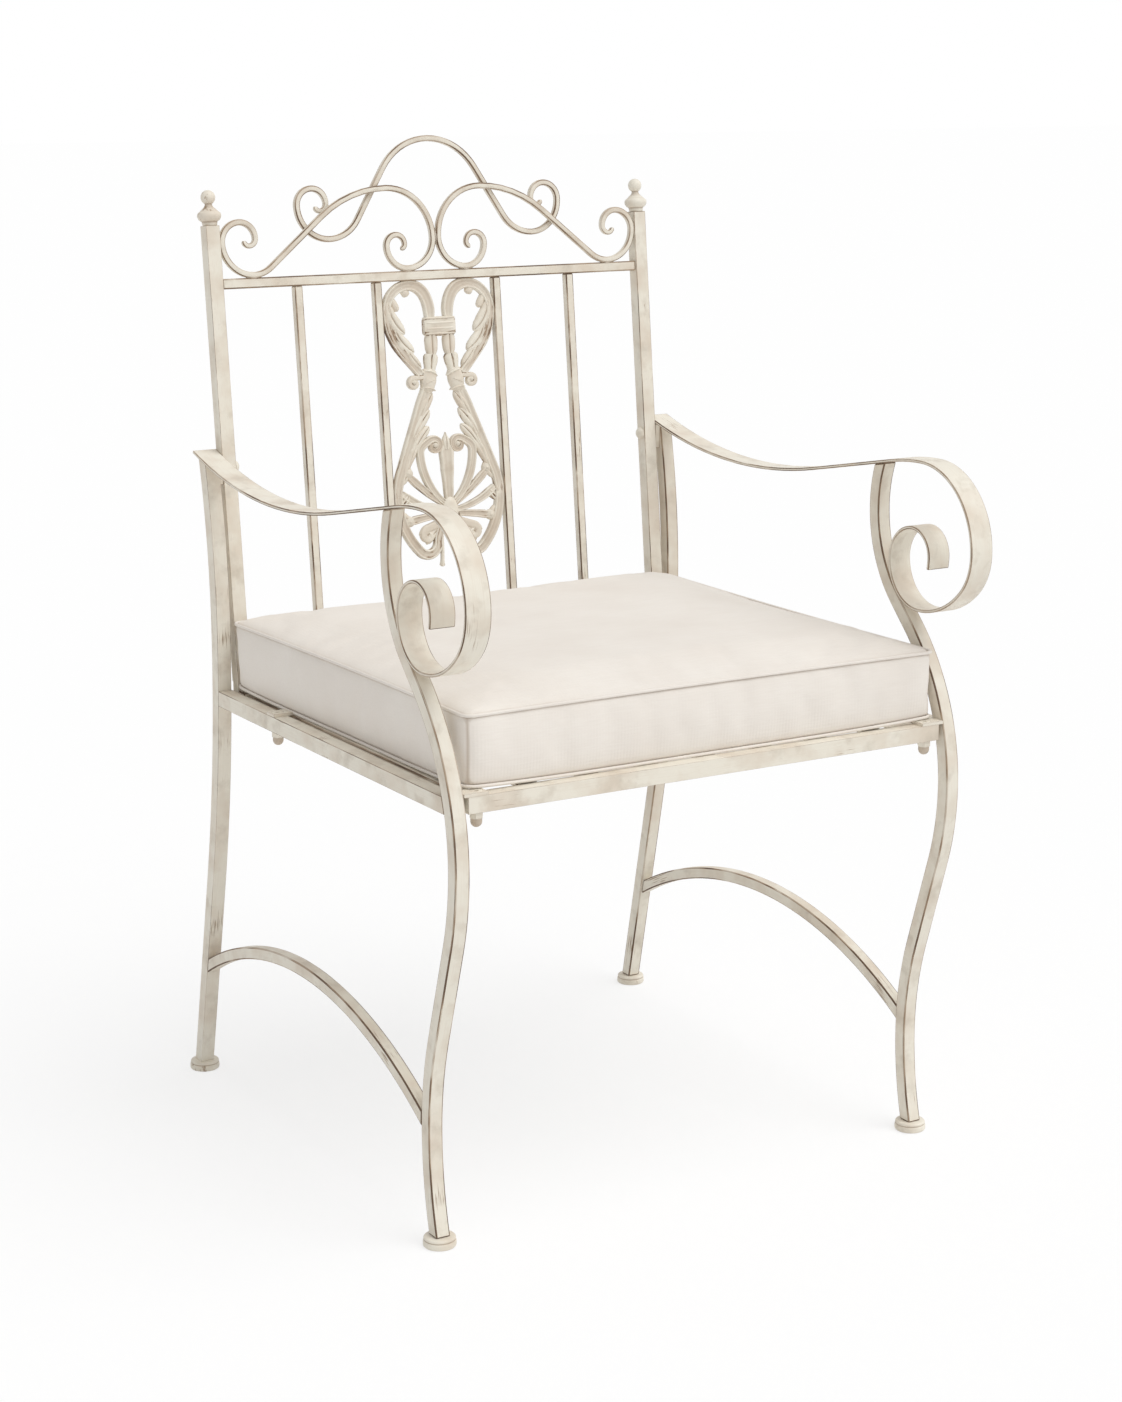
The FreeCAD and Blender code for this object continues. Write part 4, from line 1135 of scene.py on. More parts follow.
@dataclass
class Crest:
    """The two S scrolls that stand on the top rail and the arch that crosses behind them."""

    finishes: Finishes
    plane: BackPlane
    bar: float = 6.0
    rail_top: float = 413.5
    seat: float = 0.5
    post_inner: float = 235.9
    gap: float = 0.3
    outer_radii: tuple[float, ...] = (31.5, 19.4, 16.0, 7.0, 5.0)
    inner_radii: tuple[float, ...] = (30.0, 22.5, 11.0, 9.5, 4.5)
    foot_radius: float = 30.0
    crest_radius: float = 115.0
    shoulder: float = 49.7
    arch_top: float = 544.0
    arch_crown: float = 61.5
    arch_foot_radius: float = 38.0
    arch_foot: Point = (115.5, 447.8)
    arch_radii: tuple[float, ...] = (33.0, 16.6, 15.0, 7.0, 4.5)
    tip: tuple[Point, ...] = ((0.0, 2.2), (0.0012, 3.6), (0.004, 4.7))
    tip_reach: float = 0.06
    bend_step: float = 14.0
    bend_turn: float = 7.0
    shading: float = 50.0
    bead: float = 15.0
    bead_rise: float = 0.3
    bead_widths: tuple[Point, ...] = ((0, 0.6), (0.5, 3.2), (1, 0.6))
    bead_thicks: tuple[Point, ...] = ((0, 3.4), (0.5, 5.2), (1, 3.4))
    bead_step: float = 1.2
    bead_shading: float = 60.0

    def scroll_line(self) -> Line:
        """Left S scroll from the outer volute's eye to the inner volute's eye."""
        foot_z = self.rail_top + self.bar / 2 - self.seat
        foot = (self.post_inner - self.bar / 2 + self.seat - self.outer_radii[0], foot_z)
        outer = Line(foot, 0).quarters(self.outer_radii, 1)
        crown = (self.gap / 2 + self.bar / 2 + self.shoulder, foot_z + self.inner_radii[0] + self.shoulder)
        inner = Line(foot, 180).s_bend(crown, self.foot_radius, self.crest_radius, -1)
        inner.arc(self.shoulder, 90).quarters(self.inner_radii, 1)
        return outer.turned_round().followed_by(inner)

    def arch_line(self) -> Line:
        """One bar over the middle of the crest, with a volute at each end."""
        half = Line((0, self.arch_top), 0).s_bend(self.arch_foot, self.arch_crown, self.arch_foot_radius, -1)
        half.quarters(self.arch_radii, 1)
        return half.mirrored().turned_round().followed_by(half)

    def build(self) -> None:
        """Builds the scrolls and the arch, forged from square bar with drawn-out tips."""
        part = Part(self.finishes)
        paint = self.finishes.bar
        scroll = self.forged("left_crest_scroll_bar", self.scroll_line(), self.bar / 2)
        other = mirrored(scroll, "right_crest_scroll_bar")
        smooth(other, self.shading)
        self.welds(part)
        part.finish(scroll, "frame_paint", paint, "left_crest_scroll")
        part.finish(other, "frame_paint", paint, "right_crest_scroll")
        arch = self.forged("crest_arch_bar", self.arch_line(), -self.bar / 2)
        part.finish(arch, "frame_paint", paint, "crest_arch")

    def forged(self, name: str, line: Line, lift: float) -> bpy.types.Object:
        """Square bar bent along a line, with both tips drawn out thin.

        Args:
            name: Name of the piece.
            line: Its middle line in the back's plane.
            lift: How far it lies in front of that plane.

        Returns:
            The bar in its place on the chair.
        """
        sizes = self.tip + ((self.tip_reach, self.bar), (1 - self.tip_reach, self.bar))
        sizes += tuple((1 - share, size) for share, size in reversed(self.tip))
        bar = swept(name, line, sizes, sizes, Section.SOFT_SQUARE, self.bend_step, self.bend_turn, lift)
        placed(bar, self.plane.matrix())
        smooth(bar, self.shading)
        return bar

    def welds(self, part: Part) -> None:
        """Low weld beads where the scrolls stand on the rail and where they touch each other.

        Args:
            part: The shared rules.
        """
        foot_x = self.post_inner - self.bar / 2 + self.seat - self.outer_radii[0]
        volute_x = (self.gap + self.bar) / 2 + self.inner_radii[0]
        beads = [(Line((x - self.bead / 2, self.rail_top + self.bead_rise), 0).ahead(self.bead), "rail")
                 for x in (foot_x, volute_x, -volute_x, -foot_x)]
        touch = self.rail_top + self.bar / 2 - self.seat + self.inner_radii[0]
        beads.append((Line((0, touch - self.bead / 2), 90).ahead(self.bead), "middle"))
        pieces = [swept(f"weld_{place}", line, self.bead_widths, self.bead_thicks, Section.ROUND,
                        self.bead_step, lift=self.bar / 2) for line, place in beads]
        weld = placed(joined("crest_weld_beads", pieces), self.plane.matrix())
        smooth(weld, self.bead_shading)
        part.finish(weld, "frame_paint", self.finishes.bar)


def scaled(table: tuple[Point, ...], size: float) -> tuple[Point, ...]:
    """A table of shares of a size, turned into millimetres."""
    return tuple((place, share * size) for place, share in table)


def level(size: float) -> tuple[Point, ...]:
    """A table of one size from end to end."""
    return (0, size), (1, size)


@dataclass(frozen=True)
class Taper:
    """How wide and thick a lobe is along its length, as shares of its widest and its thickness."""

    name: str
    widths: tuple[Point, ...]
    thicks: tuple[Point, ...]
    step: float


class LobeForm(Enum):
    """Leaf with a full belly, long lobe with a thick round tip like a thumb, or flaring rib."""

    LEAF = Taper("splat_leaf", ((0, 0.4), (0.25, 0.8), (0.6, 1), (0.82, 0.86), (0.94, 0.55), (1, 0.16)),
                 ((0, 0.8), (0.6, 1), (0.9, 0.85), (1, 0.4)), 2.2)
    THUMB = Taper("splat_thumb",
                  ((0, 0.6), (0.3, 0.85), (0.7, 1), (0.84, 0.94), (0.93, 0.72), (0.98, 0.42), (1, 0.14)),
                  ((0, 0.8), (0.7, 1), (0.9, 0.85), (0.98, 0.5), (1, 0.2)), 1.0)
    RIB = Taper("splat_band", ((0, 0.72), (0.5, 1), (0.85, 1.15), (1, 0.9)), level(1), 4.0)


@dataclass(frozen=True)
class Lobe:
    """One lobe: where it leaves its band, which way it leaves, where it ends and how wide and thick it is."""

    root: Point
    heading: float
    tip: Point
    width: float
    thick: float = 7.4
    form: LobeForm = LobeForm.LEAF
    section: Section = Section.VEINED

    def make(self, origin: Point = (0, 0)) -> bpy.types.Object:
        """The lobe's mesh, with its ends measured from an origin in the panel."""
        line = Line(moved(origin, self.root), self.heading).arc_to(moved(origin, self.tip))
        taper = self.form.value
        return swept(taper.name, line, scaled(taper.widths, self.width), scaled(taper.thicks, self.thick),
                     self.section, taper.step)


@dataclass(frozen=True)
class Stem:
    """One straight piece, with its widths and thicknesses along it."""

    name: str
    root: Point
    heading: float
    length: float
    widths: tuple[Point, ...]
    thicks: tuple[Point, ...]
    section: Section
    step: float

    def make(self, origin: Point) -> bpy.types.Object:
        """The piece's mesh, with its root measured from an origin in the panel."""
        line = Line(moved(origin, self.root), self.heading).ahead(self.length)
        return swept(self.name, line, self.widths, self.thicks, self.section, self.step)


@dataclass(frozen=True)
class Curl:
    """Sizes of a band that curls up into a volute."""

    width: float
    tip: float
    thick: float

    def make(self, line: Line) -> bpy.types.Object:
        """The band's mesh along its middle line, the volute last."""
        widths = ((0, self.width), (0.6, self.width * 0.9), (1, self.tip))
        return swept("splat_curl", line, widths, ((0, self.thick), (1, self.thick * 0.85)),
                     Section.SOFT_SQUARE, step=2.5, turn=15)


@dataclass(frozen=True)
class Boss:
    """Round boss with a domed face on both sides."""

    centre: Point
    radius: float
    thick: float

    def make(self, origin: Point) -> bpy.types.Object:
        """The boss's mesh, with its centre measured from an origin in the panel."""
        half = self.thick / 2
        rim = ((0.45, 0.98), (0.78, 0.8), (0.95, 0.5), (1, 0))
        profile = [(0, -half)] + [(across * self.radius, -depth * half) for across, depth in rim]
        profile += [(across * self.radius, depth * half) for across, depth in reversed(rim[:3])] + [(0, half)]
        centre = moved(origin, self.centre)
        place = Matrix.Translation(Vector((centre[0] * MM, centre[1] * MM, 0)))
        return placed(turned("splat_boss", profile, steps=20), place)


@dataclass
class Splat:
    """Cast lyre and palmette between the inner spindles, drawn as its left half and mirrored.

    The loop's lobes are measured from its upper corner, the husks from the stem under the collar, the
    pieces about the knot from the knot, those of the palmette and the tail from the hub, and the arm's
    lobes from the panel's foot.
    """

    finishes: Finishes
    plane: BackPlane
    shading: float = 48.0
    thick: float = 7.0
    long_radius: float = 60.0
    stem_x: float = 10.5
    collar_low: float = 347.0
    collar_high: float = 367.0
    knot: Point = (16.4, 303.0)
    hub: Point = (0.0, 171.0)
    loop_corner: Point = (59.4, 399.15)
    loop_shoulder: float = 26.1
    loop_sunk: float = 4.0
    loop_rise: float = 7.76
    loop_neck: tuple[Point, ...] = ((38.0, -27.0), (20.4, -63.0))
    loop_end: Point = (7.6, 6.0)
    loop_widths: tuple[Point, ...] = (
        (0, 9.8), (0.08, 12.2), (0.2, 12.4), (0.32, 10.4), (0.5, 9.2), (0.8, 9.8), (1, 8.6))
    loop_lobes: tuple[Lobe, ...] = (
        Lobe((-4, -8), 240, (-13.2, -25.5), 8.0, 6.4, LobeForm.THUMB, Section.ROUND),
        Lobe((-17, -2), 215, (-25.4, -11), 9.0, 6.4, LobeForm.THUMB, Section.ROUND),
        Lobe((-2, -16), 268, (-19.8, -48), 14.5),
        Lobe((-8, -41), 256, (-29, -67), 14.0),
        Lobe((-20, -62), 246, (-36, -83), 9.5))
    husks: tuple[Stem, ...] = (
        Stem("splat_band", (-0.4, 3), 270, 21, ((0, 11.2), (0.3, 14.8), (0.7, 13.8), (0.94, 11.0), (1, 9)),
             level(7.8), Section.VEINED, 2.5),
        Stem("splat_band", (0.6, -17.5), 278, 20,
             ((0, 12.0), (0.1, 16.2), (0.3, 16.0), (0.8, 12.0), (1, 10.4)), level(8.2), Section.VEINED, 2.5))
    side_curl: Curl = Curl(5.4, 3.6, 7.0)
    side_curl_root: Point = (5.0, 3.6)
    side_curl_run: float = 11.4
    side_curl_radii: tuple[float, ...] = (5.0, 4.5, 3.8, 2.8, 1.9)
    side_curl_boss: Boss = Boss((16.2, -1.2), 2.5, 7.4)
    knot_belly: Stem = Stem(
        "splat_knot", (-2.8, 12.2), 281, 24.6,
        ((0, 9.0), (0.06, 14.6), (0.2, 17.2), (0.5, 18.2), (0.8, 15.6), (0.94, 12.6), (1, 9.0)),
        ((0, 6.0), (0.1, 9.4), (0.5, 11.0), (0.86, 9.6), (1, 6.4)), Section.ROUND, 1.8)
    rims: tuple[tuple[Point, Point, float], ...] = (
        ((-10.6, 4.2), (5.6, 9.4), -30), ((-7.4, -10.6), (8.6, -7.4), -24), ((-8.6, 3.0), (8.0, -3.4), 10))
    rim_widths: tuple[Point, ...] = ((0, 1.2), (0.25, 3.0), (0.75, 3.0), (1, 1.2))
    rim_thicks: tuple[Point, ...] = ((0, 5.0), (0.3, 11.4), (0.5, 12.2), (0.7, 11.4), (1, 5.0))
    arm_widest: Point = (58.95, 186.0)
    arm_end: Point = (2.5, -7.0)
    arm_turns: tuple[Point, ...] = ((78.0, -45.0), (12.0, -45.0), (12.0, -90.0))
    arm_foot: Point = (7.0, -4.0)
    arm_foot_radius: float = 20.0
    upper_widths: tuple[Point, ...] = ((0, 10.4), (0.6, 11.4), (0.85, 12), (1, 10))
    lower_widths: tuple[Point, ...] = ((0, 10.4), (0.6, 10.4), (0.8, 9.2), (1, 7.2))
    tail_root: Point = (11.0, -20.0)
    tail_run: float = 15.0
    tail_tip: Point = (12.2, -57.0)
    tail_widths: tuple[Point, ...] = ((0, 4.6), (0.8, 4.2), (0.88, 4.6), (0.95, 6.4), (0.985, 5.4), (1, 2.4))
    tail_thick: float = 4.8
    arm_lobes: tuple[Lobe, ...] = (
        Lobe((31, 262), 116, (12.6, 290.5), 11.0),
        Lobe((37, 247), 118, (17.0, 273.5), 12.0),
        Lobe((42, 224), 112, (18.2, 257), 9.8, 7.8, LobeForm.THUMB),
        Lobe((50, 211), 118, (33.5, 243.5), 10.0),
        Lobe((54, 200), 124, (42.0, 216), 10.0, 5.6),
        Lobe((55.5, 172), 228, (46.5, 158.5), 9.5, 5.6),
        Lobe((56.5, 178), 150, (46.5, 190), 8.5, 5.6))
    scroll_root: Point = (6.0, 8.0)
    scroll_heading: float = 40.0
    scroll_back: Point = (30.4, 59.0)
    scroll_top: Point = (20.0, 71.4)
    scroll_turn: float = 10.0
    scroll_brow: Point = (13.6, 73.2)
    scroll_radii: tuple[float, ...] = (6.4, 5.8, 4.6, 3.2)
    scroll_widths: tuple[Point, ...] = ((0, 6.4), (0.3, 8.4), (0.62, 8.2), (0.8, 6.4), (1, 3.6))
    scroll_thick: float = 6.4
    ribs: tuple[Lobe, ...] = (
        Lobe((5, 5), 33, (44.5, 37), 7.2, 6.0, LobeForm.RIB, Section.HOLLOW),
        Lobe((6, 0), 6, (53.5, 20), 7.4, 6.0, LobeForm.RIB, Section.HOLLOW),
        Lobe((6, -4), -2, (48, -9), 7.6, 6.0, LobeForm.RIB, Section.HOLLOW))
    scroll_boss: Boss = Boss((12.8, 66.6), 3.0, 7.6)
    rib_bosses: tuple[Boss, ...] = (
        Boss((45.2, 40), 5.2, 6.6), Boss((45.2, 40), 2.184, 8.0),
        Boss((46.8, -8.6), 5.6, 6.6), Boss((46.8, -8.6), 2.352, 8.0))
    low_curl: Curl = Curl(8.8, 3.2, 6.2)
    low_curl_root: Point = (6.0, -10.0)
    low_curl_heading: float = -22.0
    low_curl_brow: Point = (27.0, -17.0)
    low_curl_radii: tuple[float, ...] = (6.4, 5.2, 3.6, 2.4)
    low_lobes: tuple[Lobe, ...] = (
        Lobe((10, -13), -14, (36.5, -23), 10.0, 5.0), Lobe((12, -16), -34, (29, -33), 9.0, 5.0))
    collar_side: float = 7.2
    collar_edge: tuple[Point, ...] = ((0, 4.0), (0.03, 1.4), (0.09, 0), (0.91, 0), (0.97, 1.4), (1, 4.0))
    collar_thicks: tuple[Point, ...] = ((0, 6.4), (0.04, 8.4), (0.1, 8.8), (0.9, 8.8), (0.96, 8.4), (1, 6.4))
    collar_ribs: tuple[Point, ...] = ((-7.2, 3.4), (-2.0, 3.8), (3.6, 4.2), (8.4, 2.8))
    rib_inset: float = 0.4
    rib_shares: tuple[Point, ...] = ((0, 0.7), (0.05, 1), (0.95, 1), (1, 0.7))
    rib_thicks: tuple[Point, ...] = ((0, 6.0), (0.08, 10), (0.92, 10), (1, 6.0))
    middle_pieces: tuple[Stem, ...] = (
        Stem("splat_centre_leaf", (0, 6), 90, 60,
             ((0, 9.0), (0.3, 11.2), (0.65, 14.6), (0.9, 16.6), (1, 12.0)),
             ((0, 6), (0.8, 6.4), (1, 5)), Section.HOLLOW, 3.0),
        Stem("splat_bud", (0, 62), 90, 17.2, ((0, 6.4), (0.3, 9.4), (0.6, 7.6), (0.85, 3.4), (1, 1.0)),
             ((0, 6), (0.4, 7), (1, 2)), Section.VEINED, 1.6),
        Stem("splat_hub", (0, -17), 90, 31,
             ((0, 8.0), (0.07, 14.0), (0.22, 18.6), (0.5, 20.6), (0.74, 18.4), (0.88, 13.6), (0.96, 7.6),
              (1, 2.0)),
             ((0, 5), (0.1, 8.5), (0.5, 12), (0.85, 9.5), (0.96, 6.4), (1, 3)), Section.ROUND, 1.6))

    def band(self, line: Line, widths: tuple[Point, ...], thick: float = 0.0,
             section: Section = Section.HOLLOW, step: float = 4.0) -> bpy.types.Object:
        """One cast band of the splat.

        Args:
            line: Its middle line.
            widths: Shares of its length and widths.
            thick: Its thickness, or 0 for the splat's own.
            section: Its cross-section.
            step: Longest step along it.

        Returns:
            The band's mesh.
        """
        return swept("splat_band", line, widths, level(thick or self.thick), section, step)

    def lyre(self) -> list[bpy.types.Object]:
        """Upper loop with its lobes, husked stem, side curl and swollen knot wrapped by rims and a fold."""
        loop = Line((self.stem_x, self.collar_high - self.loop_sunk), 90).ahead(self.loop_rise)
        for radius, sweep in self.loop_neck:
            loop.arc(radius, sweep)
        loop.ahead(self.loop_corner[0] - self.loop_shoulder - loop.point[0]).arc(self.loop_shoulder, -90)
        loop.turn_to(moved(self.knot, self.loop_end), self.long_radius, -1)
        curl = Line(moved(self.knot, self.side_curl_root), 0).ahead(self.side_curl_run)
        pieces = [self.band(loop, self.loop_widths)]
        pieces += [lobe.make(self.loop_corner) for lobe in self.loop_lobes]
        pieces += [husk.make((self.stem_x, self.collar_low)) for husk in self.husks]
        pieces.append(self.side_curl.make(curl.quarters(self.side_curl_radii, -1)))
        pieces += [self.side_curl_boss.make(self.knot), self.knot_belly.make(self.knot)]
        for low, high, bow in self.rims:
            start, end = moved(self.knot, low), moved(self.knot, high)
            rim = Line(start, heading_between(start, end) - bow).arc_to(end)
            pieces.append(swept("splat_knot_rim", rim, self.rim_widths, self.rim_thicks, Section.ROUND,
                                step=1.6))
        return pieces

    def arms(self) -> list[bpy.types.Object]:
        """Long outer arm with the leaves that climb its inner side, its lower curl and the tail."""
        upper = Line(self.arm_widest, 90).turn_to(moved(self.knot, self.arm_end), self.long_radius, 1)
        lower = Line(self.arm_widest, 270)
        for radius, sweep in self.arm_turns:
            lower.arc(radius, sweep)
        lower.turn_to(moved(self.hub, self.arm_foot), self.arm_foot_radius, 1)
        tail = Line(moved(self.hub, self.tail_root), 270).ahead(self.tail_run)
        tail.arc_to(moved(self.hub, self.tail_tip))
        pieces = [self.band(upper, self.upper_widths, step=6), self.band(lower, self.lower_widths),
                  self.band(tail, self.tail_widths, self.tail_thick, Section.ROUND, step=1.6)]
        return pieces + [lobe.make() for lobe in self.arm_lobes]

    def palmette(self) -> list[bpy.types.Object]:
        """C scroll, ribs and lobes that fan out from the hub."""
        scroll = Line(moved(self.hub, self.scroll_root), self.scroll_heading)
        scroll.arc_to(moved(self.hub, self.scroll_back))
        scroll.turn_to(moved(self.hub, self.scroll_top), self.scroll_turn, 1)
        scroll.arc_to(moved(self.hub, self.scroll_brow)).quarters(self.scroll_radii, 1)
        pieces = [self.band(scroll, self.scroll_widths, self.scroll_thick)]
        pieces += [piece.make(self.hub) for piece in (self.scroll_boss,) + self.ribs + self.rib_bosses]
        curl = Line(moved(self.hub, self.low_curl_root), self.low_curl_heading)
        curl.arc_to(moved(self.hub, self.low_curl_brow)).quarters(self.low_curl_radii, -1)
        pieces.append(self.low_curl.make(curl))
        return pieces + [lobe.make(self.hub) for lobe in self.low_lobes]

    def middle(self) -> list[bpy.types.Object]:
        """Collar with its ribs, centre leaf, its bud and the hub."""
        height = self.collar_high - self.collar_low
        collar_z = (self.collar_low + self.collar_high) / 2
        half = self.stem_x + self.collar_side
        collar = Line((-half, collar_z), 0).ahead(2 * half)
        widths = tuple((share, height - less) for share, less in self.collar_edge)
        pieces = [swept("splat_collar", collar, widths, self.collar_thicks, Section.SOFT_SQUARE, step=3)]
        half -= self.rib_inset
        for rise, width in self.collar_ribs:
            rib = Line((-half, collar_z + rise), 0).ahead(2 * half)
            pieces.append(swept("splat_collar_rib", rib, scaled(self.rib_shares, width), self.rib_thicks,
                                Section.ROUND, step=2))
        return pieces + [stem.make(self.hub) for stem in self.middle_pieces]

    def build(self) -> None:
        """Builds the whole casting and darkens its recesses with painted shade and darker glazing."""
        part = Part(self.finishes)
        half = joined("splat_half", self.lyre() + self.arms() + self.palmette())
        other = mirrored(half, "splat_other_half")
        splat = joined("back_splat_casting", [half, other] + self.middle())
        placed(splat, self.plane.matrix())
        smooth(splat, self.shading)
        glaze(splat)
        part.finish(splat, "cast_paint", self.finishes.cast, "back_splat")


@dataclass
class Fixings:
    """Bolts, nuts, lugs and spacers that hold the panels to the side frames."""

    finishes: Finishes
    lug_edge: float = 0.5
    shank: float = 3.0
    chamfer: float = 0.5
    head: float = 6.4
    head_height: float = 5.5
    head_edge: float = 0.4
    head_angles: tuple[int, ...] = tuple(range(18, 80, 12))
    bolt_steps: int = 30
    nut_flats: float = 11.0
    nut_hex: float = 6.0
    nut_rings: tuple[Point, ...] = ((1.1, 6.0), (0.2, 5.5), (0.0, 5.0), (0.0, 0.4), (0.5, 0.0))
    nut_height: float = 14.0
    dome_inset: float = 0.4
    dome_flare: float = 0.25
    dome_sunk: float = 0.3
    dome_angles: tuple[int, ...] = tuple(range(12, 91, 13))
    dome_steps: int = 28
    sink: float = 5.8
    sink_round: Point = (0.3, 0.15)
    socket: tuple[Point, ...] = ((2.6, 0.0), (2.3, 0.3), (2.3, 2.2), (0.0, 2.6))

    def build(self) -> None:
        """Builds every fixing of both sides."""
        part = Part(self.finishes)
        for side in SIDES:
            for name in ("front_seat", "rear_seat"):
                part.softened(f"{side}_{name}_lug", self.lug_edge)
                self.nut(part, f"{side}_{name}_nut")
                self.seat_bolt(part, f"{side}_{name}_bolt")
            part.softened(f"{side}_post_spacer", self.lug_edge)
            inward = Vector((-1, 0, 0)) if side == "left" else Vector((1, 0, 0))
            self.dome_bolt(part, f"{side}_upper_back_bolt", inward)
            self.dome_bolt(part, f"{side}_lower_back_bolt", Vector((0, 1, 0)))

    def nut(self, part: Part, node: str) -> None:
        """Hexagon nut with chamfered corners and a domed cap.

        Args:
            part: The shared rules.
            node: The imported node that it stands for.
        """
        corner = self.nut_flats / math.sqrt(3)
        dome = self.nut_flats / 2 - self.dome_inset
        end = -self.nut_height
        rings = [(corner - inset, -depth) for inset, depth in self.nut_rings]
        hexagon = turned("nut_hexagon", [(0, -self.nut_hex)] + rings + [(0, 0)], steps=6)
        cap = [(0, end)]
        for angle in self.dome_angles:
            down, out = unit(angle)
            cap.append((dome * out, end + dome * (1 - down)))
        sunk = self.dome_sunk - self.nut_hex
        cap += [(dome, -self.nut_hex - self.dome_inset), (dome + self.dome_flare, sunk), (0, sunk)]
        piece = joined(node + "_cap", [hexagon, turned("nut_cap", cap, self.dome_steps)])
        placed(piece, Matrix.Translation(node_end(node, 1)))
        part.finish_turned(piece, "fixing_paint", node)

    def seat_bolt(self, part: Part, node: str) -> None:
        """Countersunk bolt with a socket in its head, flush with its lug.

        Args:
            part: The shared rules.
            node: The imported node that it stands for.
        """
        low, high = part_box(node)
        length = (high[2] - low[2]) / MM
        profile = [(0, 0), (self.shank - self.chamfer, 0), (self.shank, self.chamfer),
                   (self.shank, length - self.shank), (self.sink, length - self.sink_round[1]),
                   (self.sink - self.sink_round[0], length)]
        profile += [(radius, length - depth) for radius, depth in self.socket]
        piece = turned(node + "_screw", profile, self.bolt_steps)
        placed(piece, Matrix.Translation(node_end(node, 0)))
        part.finish_turned(piece, "fixing_paint", node)

    def dome_bolt(self, part: Part, node: str, axis: Vector) -> None:
        """Bolt with a domed head.

        Args:
            part: The shared rules.
            node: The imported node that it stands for.
            axis: From its tip to its head.
        """
        low, high = (Vector(corner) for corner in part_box(node))
        reach = abs((high - low).dot(axis))
        length = reach / MM - self.head_height
        tip = (low + high) / 2 - axis * reach / 2
        profile = [(0, 0), (self.shank - self.chamfer, 0), (self.shank, self.chamfer), (self.shank, length),
                   (self.head - self.head_edge, length), (self.head, length + self.head_edge)]
        for angle in self.head_angles:
            out, up = unit(angle)
            profile.append((self.head * out, length + self.head_height * up))
        profile.append((0, length + self.head_height))
        turn = axis.to_track_quat("Z", "Y").to_matrix().to_4x4()
        piece = placed(turned(node + "_screw", profile, self.bolt_steps), Matrix.Translation(tip) @ turn)
        part.finish_turned(piece, "fixing_paint", node)


